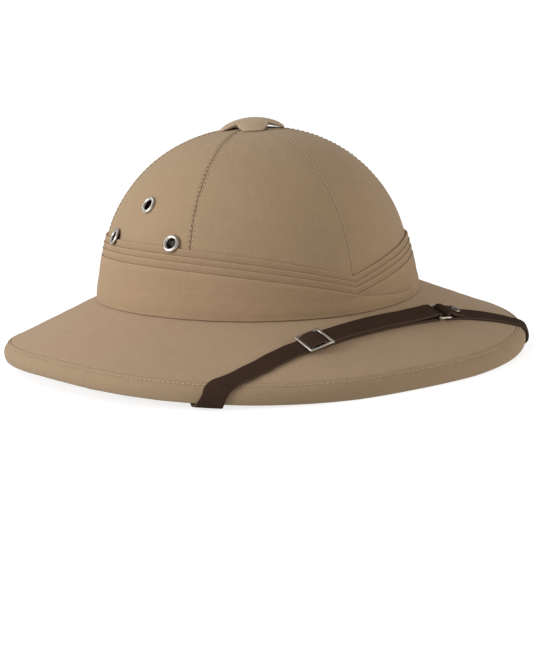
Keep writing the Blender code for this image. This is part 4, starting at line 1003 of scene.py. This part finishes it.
def strap_route():
    """Stations along the strap: azimuth, distance past the fold, lift and length so far."""
    rows = smooth_line(np.array([STRAP_ROUTE[0], *STRAP_ROUTE, STRAP_ROUTE[-1]]), 8)[8:-8]
    azimuth = np.radians(rows[:, 0])
    turn = rows[:, 1]
    above = -np.interp(azimuth, SKIN_AZIMUTH, SKIN_LENGTH[:, 0])
    under = np.interp(azimuth, SKIN_AZIMUTH, SKIN_LENGTH[:, MOUTH])
    distance = np.where(turn < 0, turn * above, np.where(turn < 1, turn * under, under + (turn - 1) * RIVET_HEIGHT))
    points = skin_point(azimuth, distance, 0.0)
    return np.stack([azimuth, distance, rows[:, 2] * STRAP_WALL, lengths_along(points)])


ROUTE = strap_route()


def route_at(length):
    return [np.interp(length, ROUTE[3], ROUTE[k]) for k in range(3)]


def strap_point(length, across, lift):
    """Points of the strap at lengths along the route and distances across it, (n, k, 3)."""
    length = np.atleast_1d(length).astype(float)[:, None]
    azimuth, distance, own_lift = route_at(length)
    az_before, d_before, _ = route_at(length - MM)
    az_after, d_after, _ = route_at(length + MM)
    radius = np.hypot(*np.moveaxis(skin_point(azimuth, distance, 0.0)[:, :2], -1, 0)).reshape(azimuth.shape)
    run = unit(np.stack([radius * (az_after - az_before), d_after - d_before], -1))
    square = np.stack([run[..., 1], -run[..., 0]], -1)
    skew = eased(np.clip((distance + SKEW_END) / (SKEW_END - SKEW_START), 0, 1))[..., None]
    level = np.stack([np.sign(square[..., 0]), np.zeros_like(square[..., 0])], -1)
    line = unit(blend(square, level, skew))
    across = np.atleast_1d(across)[None, :, None]
    shift = line * (across / (line * square).sum(-1, keepdims=True))
    lift = own_lift + np.atleast_2d(lift)
    shape = np.broadcast_shapes(shift[..., 0].shape, lift.shape)
    points = skin_point(
        np.broadcast_to(azimuth + shift[..., 0] / radius, shape),
        np.broadcast_to(distance + shift[..., 1], shape), np.broadcast_to(lift, shape))
    return points.reshape(*shape, 3)


HALF = STRAP_WIDTH / 2
# Section of a strap as across and up in shares: up its left edge, over the face and down its right edge
SECTION = np.array(
    [(-0.93, 0.0), (-0.985, 0.10), (-1.0, 0.35), (-1.0, 0.65), (-0.985, 0.90), (-0.94, 0.99)]
    + [(x, 1.0) for x in (-0.85, -0.72, -0.4, 0.0, 0.4, 0.72, 0.85)]
    + [(0.94, 0.99), (0.985, 0.90), (1.0, 0.65), (1.0, 0.35), (0.985, 0.10), (0.93, 0.0)]
    + [(x, 0.0) for x in (0.6, 0.0, -0.6)]
)
# Mask of the side walls, which the leather paints paler as raw edge colour and painted highlight
SECTION_EDGE = np.where(np.abs(SECTION[:, 0]) > 0.975, 1.0, 0.0)


def strap_sections(lengths, lift):
    rise = np.atleast_1d(lift)[:, None] + SECTION[None, :, 1] * STRAP_WALL
    return strap_point(lengths, SECTION[:, 0] * HALF, rise)


class Place:
    """Place and directions on the strap's lower strand: along, across and out of its upper face."""

    def __init__(self, length):
        def point(more, across):
            return strap_point(length + more, [across], STRAP_WALL)[0, 0]

        self.origin = point(0.0, 0.0)
        along = point(HALF, 0.0) - point(-HALF, 0.0)
        left, right = point(0.0, HALF), point(0.0, -HALF)
        self.along = unit(along)
        self.out = unit(np.cross(self.along, left - right))
        self.across = np.cross(self.out, self.along)
        edge = (left + right) / 2
        if (edge - self.origin) @ self.out > 0:
            self.origin = edge

    def point(self, x, y, z):
        x, y, z = np.broadcast_arrays(x, y, z)
        return self.origin + x[..., None] * self.along + y[..., None] * self.across + z[..., None] * self.out


def strand(place, x, rise):
    return place.point(x, SECTION[:, 0] * HALF, rise + SECTION[:, 1] * STRAP_WALL)


def fold_round(place, centre, facing):
    """Sections of a strap turned back round a bar, from the lower strand to the upper one."""
    bar = WIRE / 2 + GAP
    reach = bar + (1 - SECTION[:, 1]) * STRAP_WALL
    out = []
    for turn in np.linspace(-math.pi / 2, math.pi / 2, 11):
        x = centre + facing * math.cos(turn) * reach
        out.append(place.point(x, SECTION[:, 0] * HALF, bar + math.sin(turn) * reach))
    return out


def mark(azimuth):
    return float(np.interp(azimuth, ROUTE[0], ROUTE[3]))


def strap(name, node, rows):
    loft(name, node, LOOKS["leather"], smooth_line(np.stack(rows), 3), False, shade=SECTION_EDGE, key="edge")


def straps():
    slide_at, ring_at = mark(SLIDE_AZIMUTH), mark(RING_AZIMUTH)
    slide, ring = Place(slide_at), Place(ring_at)
    bar_at = RING_LENGTH / 2 - WIRE / 2
    height = WIRE + 2 * GAP
    rows = [flip(section) for section in strap_sections(np.linspace(0.0, ring_at - bar_at - WIRE, 120), 0.0)]
    rows += fold_round(ring, -bar_at, 1)
    rows.append(strand(ring, -bar_at - WIRE, height))
    stop = ring_at - bar_at - 4 * WIRE
    while stop > slide_at + SLIDE_LENGTH * 0.85:
        away = (ring_at - bar_at - stop) / STRAND_REACH
        rise = GAP + (height - GAP) * max(0.0, 1 - away)
        rows.append(strap_sections([stop], STRAP_WALL + rise)[0])
        stop -= 6 * MM
    over = SLIDE_LEAN / 2 + SLIDE_WALL + GAP
    for share, rise in ((0.58, GAP), (0.36, 1.5 * GAP), (0.11, over), (-0.11, over), (-0.24, 0.75 * over)):
        rows.append(strand(slide, share * SLIDE_LENGTH, rise))
    rows.append(strand(slide, -(SLIDE_LENGTH / 2 - SLIDE_BAR - GAP), 2 * GAP))
    strap("strap_long_leather", "strap_long", rows)

    rows = []
    stop = ring_at + bar_at + TAB_LENGTH
    while stop > ring_at + bar_at + 2 * WIRE:
        away = (stop - ring_at - bar_at) / SHORT_FOLD_LENGTH
        rise = GAP + (height - GAP) * max(0.0, 1 - 1.8 * away)
        rows.append(strap_sections([stop], STRAP_WALL + rise)[0])
        stop -= 3 * MM
    rows.append(strand(ring, bar_at + WIRE, height))
    rows += fold_round(ring, bar_at, -1)[::-1]
    rows += [flip(section) for section in strap_sections(np.linspace(ring_at + bar_at + WIRE, ROUTE[3, -1], 90), 0.0)]
    strap("strap_short_leather", "strap_short", rows)
    return slide, ring, ring_at


def flip(section):
    """The same closed section with its faces exchanged, so that it can run on into a folded strand."""
    across = SECTION[:, 0]
    up = SECTION[:, 1]
    order = [int(np.argmin((across - a) ** 2 + (up - (1 - u)) ** 2)) for a, u in SECTION]
    return section[order]


def slide_and_ring(slide, ring):
    half_length, half_width = SLIDE_LENGTH / 2, HALF + SIDE_CLEARANCE + SLIDE_BAR
    xs = (-half_length, -half_length + SLIDE_BAR, -SLIDE_BAR / 2, SLIDE_BAR / 2, half_length - SLIDE_BAR, half_length)
    ys = (-half_width, -half_width + SLIDE_BAR, half_width - SLIDE_BAR, half_width)
    build = bmesh.new()
    levels = []
    for height in (0.0, SLIDE_WALL):
        levels.append([[build.verts.new(slide.point(
            x, y, GAP + height + SLIDE_LEAN * (x + half_length) / SLIDE_LENGTH)) for y in ys] for x in xs])
    low, top = levels
    windows = {(1, 1), (3, 1)}
    for i in range(5):
        for j in range(3):
            if (i, j) in windows:
                continue
            build.faces.new((top[i][j], top[i + 1][j], top[i + 1][j + 1], top[i][j + 1]))
            build.faces.new((low[i][j], low[i][j + 1], low[i + 1][j + 1], low[i + 1][j]))
            for beside, a, b in (((i - 1, j), (i, j), (i, j + 1)), ((i + 1, j), (i + 1, j + 1), (i + 1, j)),
                                 ((i, j - 1), (i + 1, j), (i, j)), ((i, j + 1), (i, j + 1), (i + 1, j + 1))):
                if beside in windows or beside[0] in (-1, 5) or beside[1] in (-1, 3):
                    build.faces.new((top[a[0]][a[1]], top[b[0]][b[1]], low[b[0]][b[1]], low[a[0]][a[1]]))
    bmesh.ops.recalc_face_normals(build, faces=build.faces)
    bmesh.ops.dissolve_limit(build, angle_limit=0.02, verts=build.verts, edges=build.edges)
    mesh = bpy.data.meshes.new("slide_metal")
    build.to_mesh(mesh)
    build.free()
    piece = dress(link("slide_metal", mesh), "strap_slide", LOOKS["nickel"])
    bevel = piece.modifiers.new("round", "BEVEL")
    bevel.width, bevel.segments, bevel.limit_method = SLIDE_BEVEL, 3, "ANGLE"

    x, y = RING_LENGTH / 2 - WIRE / 2, HALF + SIDE_CLEARANCE + WIRE / 2
    path = []
    for cx, cy, first in ((x, y, 0), (-x, y, 90), (-x, -y, 180), (x, -y, 270)):
        mx, my = cx - math.copysign(RING_BEND, cx), cy - math.copysign(RING_BEND, cy)
        for k in range(6):
            angle = math.radians(first + 90 * k / 5)
            across, along = math.cos(angle), math.sin(angle)
            path.append((mx + RING_BEND * across, my + RING_BEND * along, across, along))
    path = np.array(path)
    turn = np.arange(16) * TAU / 16
    px, py = (path[:, k:k + 1] + path[:, k + 2:k + 3] * np.cos(turn) * WIRE / 2 for k in range(2))
    pz = WIRE / 2 + GAP + np.sin(turn)[None, :] * WIRE / 2
    loft("ring_metal", "strap_ring", LOOKS["nickel"], ring.point(px, py, pz))


def stud(ring_at):
    place = Place(ring_at + RING_LENGTH / 2 + STUD_DISTANCE)
    profile = [(STUD_POST_RADIUS, -STRAP_WALL), (STUD_POST_RADIUS, STUD_SEAT), (STUD_RADIUS - 0.25 * MM, STUD_SEAT),
               (STUD_RADIUS, STUD_SEAT + 0.15 * MM)]
    for k in range(1, 12):
        angle = math.pi / 2 * k / 12
        rise = 0.2 * MM + (STUD_DOME - 0.2 * MM) * math.sin(angle)
        profile.append((STUD_RADIUS * math.cos(angle), STUD_SEAT + rise))
    profile += [(0.05 * MM, STUD_SEAT + STUD_DOME), (0.05 * MM, -STRAP_WALL)]
    return turned("stud_dome", "snap_stud", LOOKS["stud"], profile, place.point)


# Stitches

def stitches(name, node, look, line, normals, pitch, length, radius):
    """Short threads laid along a line of points on the cloth."""
    total = lengths_along(line)
    count = int(total[-1] / pitch)
    verts, faces = [], []
    for n in range(count):
        middle = (n + 0.5) * total[-1] / count
        a, p, b = (
            np.array([np.interp(place, total, line[:, k]) for k in range(3)])
            for place in (middle - length / 2, middle, middle + length / 2))
        out = unit(np.array([np.interp(middle, total, normals[:, k]) for k in range(3)]))
        run = b - a
        size = np.linalg.norm(run)
        run = run / size
        side = np.cross(out, run)
        base = len(verts)
        for x, thick, rise in STITCH_SHAPE:
            centre = p + run * x * size + out * rise * radius
            if thick == 0.0:
                verts.append(centre)
                continue
            for k in range(6):
                angle = TAU * k / 6
                verts.append(centre + (side * math.cos(angle) + out * math.sin(angle)) * radius * thick)
        rings = [base + 1 + 6 * k for k in range(4)]
        last = base + 1 + 24
        for k in range(6):
            m = (k + 1) % 6
            faces.append((base, rings[0] + m, rings[0] + k))
            for r0, r1 in zip(rings, rings[1:]):
                faces.append((r0 + k, r0 + m, r1 + m, r1 + k))
            faces.append((last, rings[3] + k, rings[3] + m))
    return make(name, node, look, verts, faces, replaces=False)


def rim_stitches():
    azimuth = np.linspace(0, TAU, 1200)
    rim = rim_line(azimuth, RIM_STEPS)
    i = int(np.searchsorted(lengths_along(rim[0]), EDGE_STITCH_INSET))
    raised = offset(rim, -STITCH_HEIGHT)[:, i]
    out = offset(rim, -1.0)[:, i] - rim[:, i]
    normal = np.stack([out[:, 0] * np.sin(azimuth), -out[:, 0] * np.cos(azimuth), out[:, 1]], -1)
    stitches("rim_stitches", "rim_binding", LOOKS["thread"], at(azimuth, raised[:, 0], raised[:, 1]), normal,
             3.2 * MM, 2.3 * MM, 0.26 * MM)


def seam_stitches():
    for number in range(6):
        look, inset, length = ("seam_thread", 1.3 * MM, 1.7 * MM) if number else ("front_thread", 1.1 * MM, 1.3 * MM)
        azimuth = even_azimuth(np.array([number * TAU / 6]))[0]
        top = float(pleat_height(azimuth, 3)) + 0.6 * MM
        heights = np.linspace(top, CROWN_FOOT_HEIGHT + CROWN_HEIGHT * 0.985, 240)
        r, z = crown_point(azimuth, heights, STITCH_HEIGHT)
        for side in (1, -1) if number else (1,):
            turn = azimuth + side * inset / r
            line = at(turn, r, z)
            normal = at(turn, *crown_point(azimuth, heights, 1.0)) - line
            stitches(f"seam_stitches_{number + 1}_{'a' if side > 0 else 'b'}", f"crown_panel_{number + 1}",
                     LOOKS[look], line, normal, 3.1 * MM, length, 0.27 * MM)


# Camera, light and floor

CAMERA_AZIMUTH = math.radians(-32.622)
CAMERA_HEIGHT = math.radians(10.164)
CAMERA_ROLL = math.radians(3.792)
CAMERA_DISTANCE = 1.4
PIXELS_PER_METRE = 1577.0
FRAME = (533, 666)
CENTRE = (260.025, 342.408)
WORLD_STRENGTH = 0.46
LIGHTS_AIM = (0, 0, 0.06)
FLOOR_REACH = 40.0


def camera():
    a, e, r = CAMERA_AZIMUTH, CAMERA_HEIGHT, CAMERA_ROLL
    back = Vector((math.sin(a) * math.cos(e), -math.cos(a) * math.cos(e), math.sin(e)))
    right = Vector((math.cos(a), math.sin(a), 0))
    up = back.cross(right)
    right, up = math.cos(r) * right - math.sin(r) * up, math.sin(r) * right + math.cos(r) * up
    data = bpy.data.cameras.new("camera")
    made = link("camera", data)
    matrix = Matrix((right, up, back)).transposed().to_4x4()
    matrix.translation = Vector((0, 0, RIM_DEPTH)) + back * CAMERA_DISTANCE
    made.matrix_world = matrix
    data.sensor_fit = "VERTICAL"
    data.sensor_height = 36.0
    data.lens = PIXELS_PER_METRE * CAMERA_DISTANCE / FRAME[1] * data.sensor_height
    data.shift_x = (FRAME[0] / 2 - CENTRE[0]) / FRAME[1]
    data.shift_y = (CENTRE[1] - FRAME[1] / 2) / FRAME[1]
    data.clip_end = 100
    bpy.context.scene.camera = made


def area_light(name, position, size, power, colour):
    data = bpy.data.lights.new(name, "AREA")
    data.shape = "DISK"
    data.size = size
    data.energy = power
    data.color = colour
    made = link(name, data)
    made.location = position
    made.rotation_euler = (Vector(LIGHTS_AIM) - Vector(position)).to_track_quat("-Z", "Y").to_euler()


def surroundings():
    world = bpy.data.worlds.new("studio")
    world.use_nodes = True
    background = world.node_tree.nodes["Background"]
    background.inputs["Color"].default_value = (1.0, 1.0, 1.0, 1.0)
    background.inputs["Strength"].default_value = WORLD_STRENGTH
    bpy.context.scene.world = world
    for row in LIGHTS:
        area_light(*row)
    t = Tree("floor_paper")
    value = t.ramp(t.noise(t.place(), 40.0, 3.0), 0.3, 0.7, 0.985, 1.0)
    t.put(t.scaled((0.45, 0.45, 0.45), value), t.shader.inputs["Base Color"])
    t.set(Roughness=0.9, Emission_Color=(1.0, 1.0, 1.0, 1.0), Emission_Strength=0.78)
    mesh = bpy.data.meshes.new("floor")
    corners = [(x * FLOOR_REACH, y * FLOOR_REACH, 0) for x, y in ((-1, -1), (1, -1), (1, 1), (-1, 1))]
    mesh.from_pydata(corners, [], [(0, 1, 2, 3)])
    mesh.materials.append(t.material)
    floor = link("floor", mesh)
    floor.visible_diffuse = False
    bpy.context.scene.view_settings.view_transform = "Standard"


def hidden_rivets():
    for name in ("strap_rivet_right", "strap_rivet_left"):
        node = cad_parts[name]
        node.data.materials.clear()
        node.data.materials.append(LOOKS["nickel"])


camera()
surroundings()
tools = cutters()
body = shell()
drill(body, tools)
for panel in range(6):
    made = crown_panel(panel)
    if panel in (1, 4):
        drill(made, tools[:3] if panel == 1 else tools[3:])
brim_cover()
binding_piece()
wrapped = band()
drill(wrapped, tools)
for tool in tools:
    bpy.data.objects.remove(tool)
vent_cap()
for eyelet_side, word in ((1, "left"), (-1, "right")):
    for eyelet_number, eyelet_row in enumerate(EYELETS, start=1):
        eyelet(f"eyelet_{word}_{eyelet_number}", eyelet_side, eyelet_row)
slide_place, ring_place, ring_length = straps()
slide_and_ring(slide_place, ring_place)
stud(ring_length)
hidden_rivets()
rim_stitches()
seam_stitches()
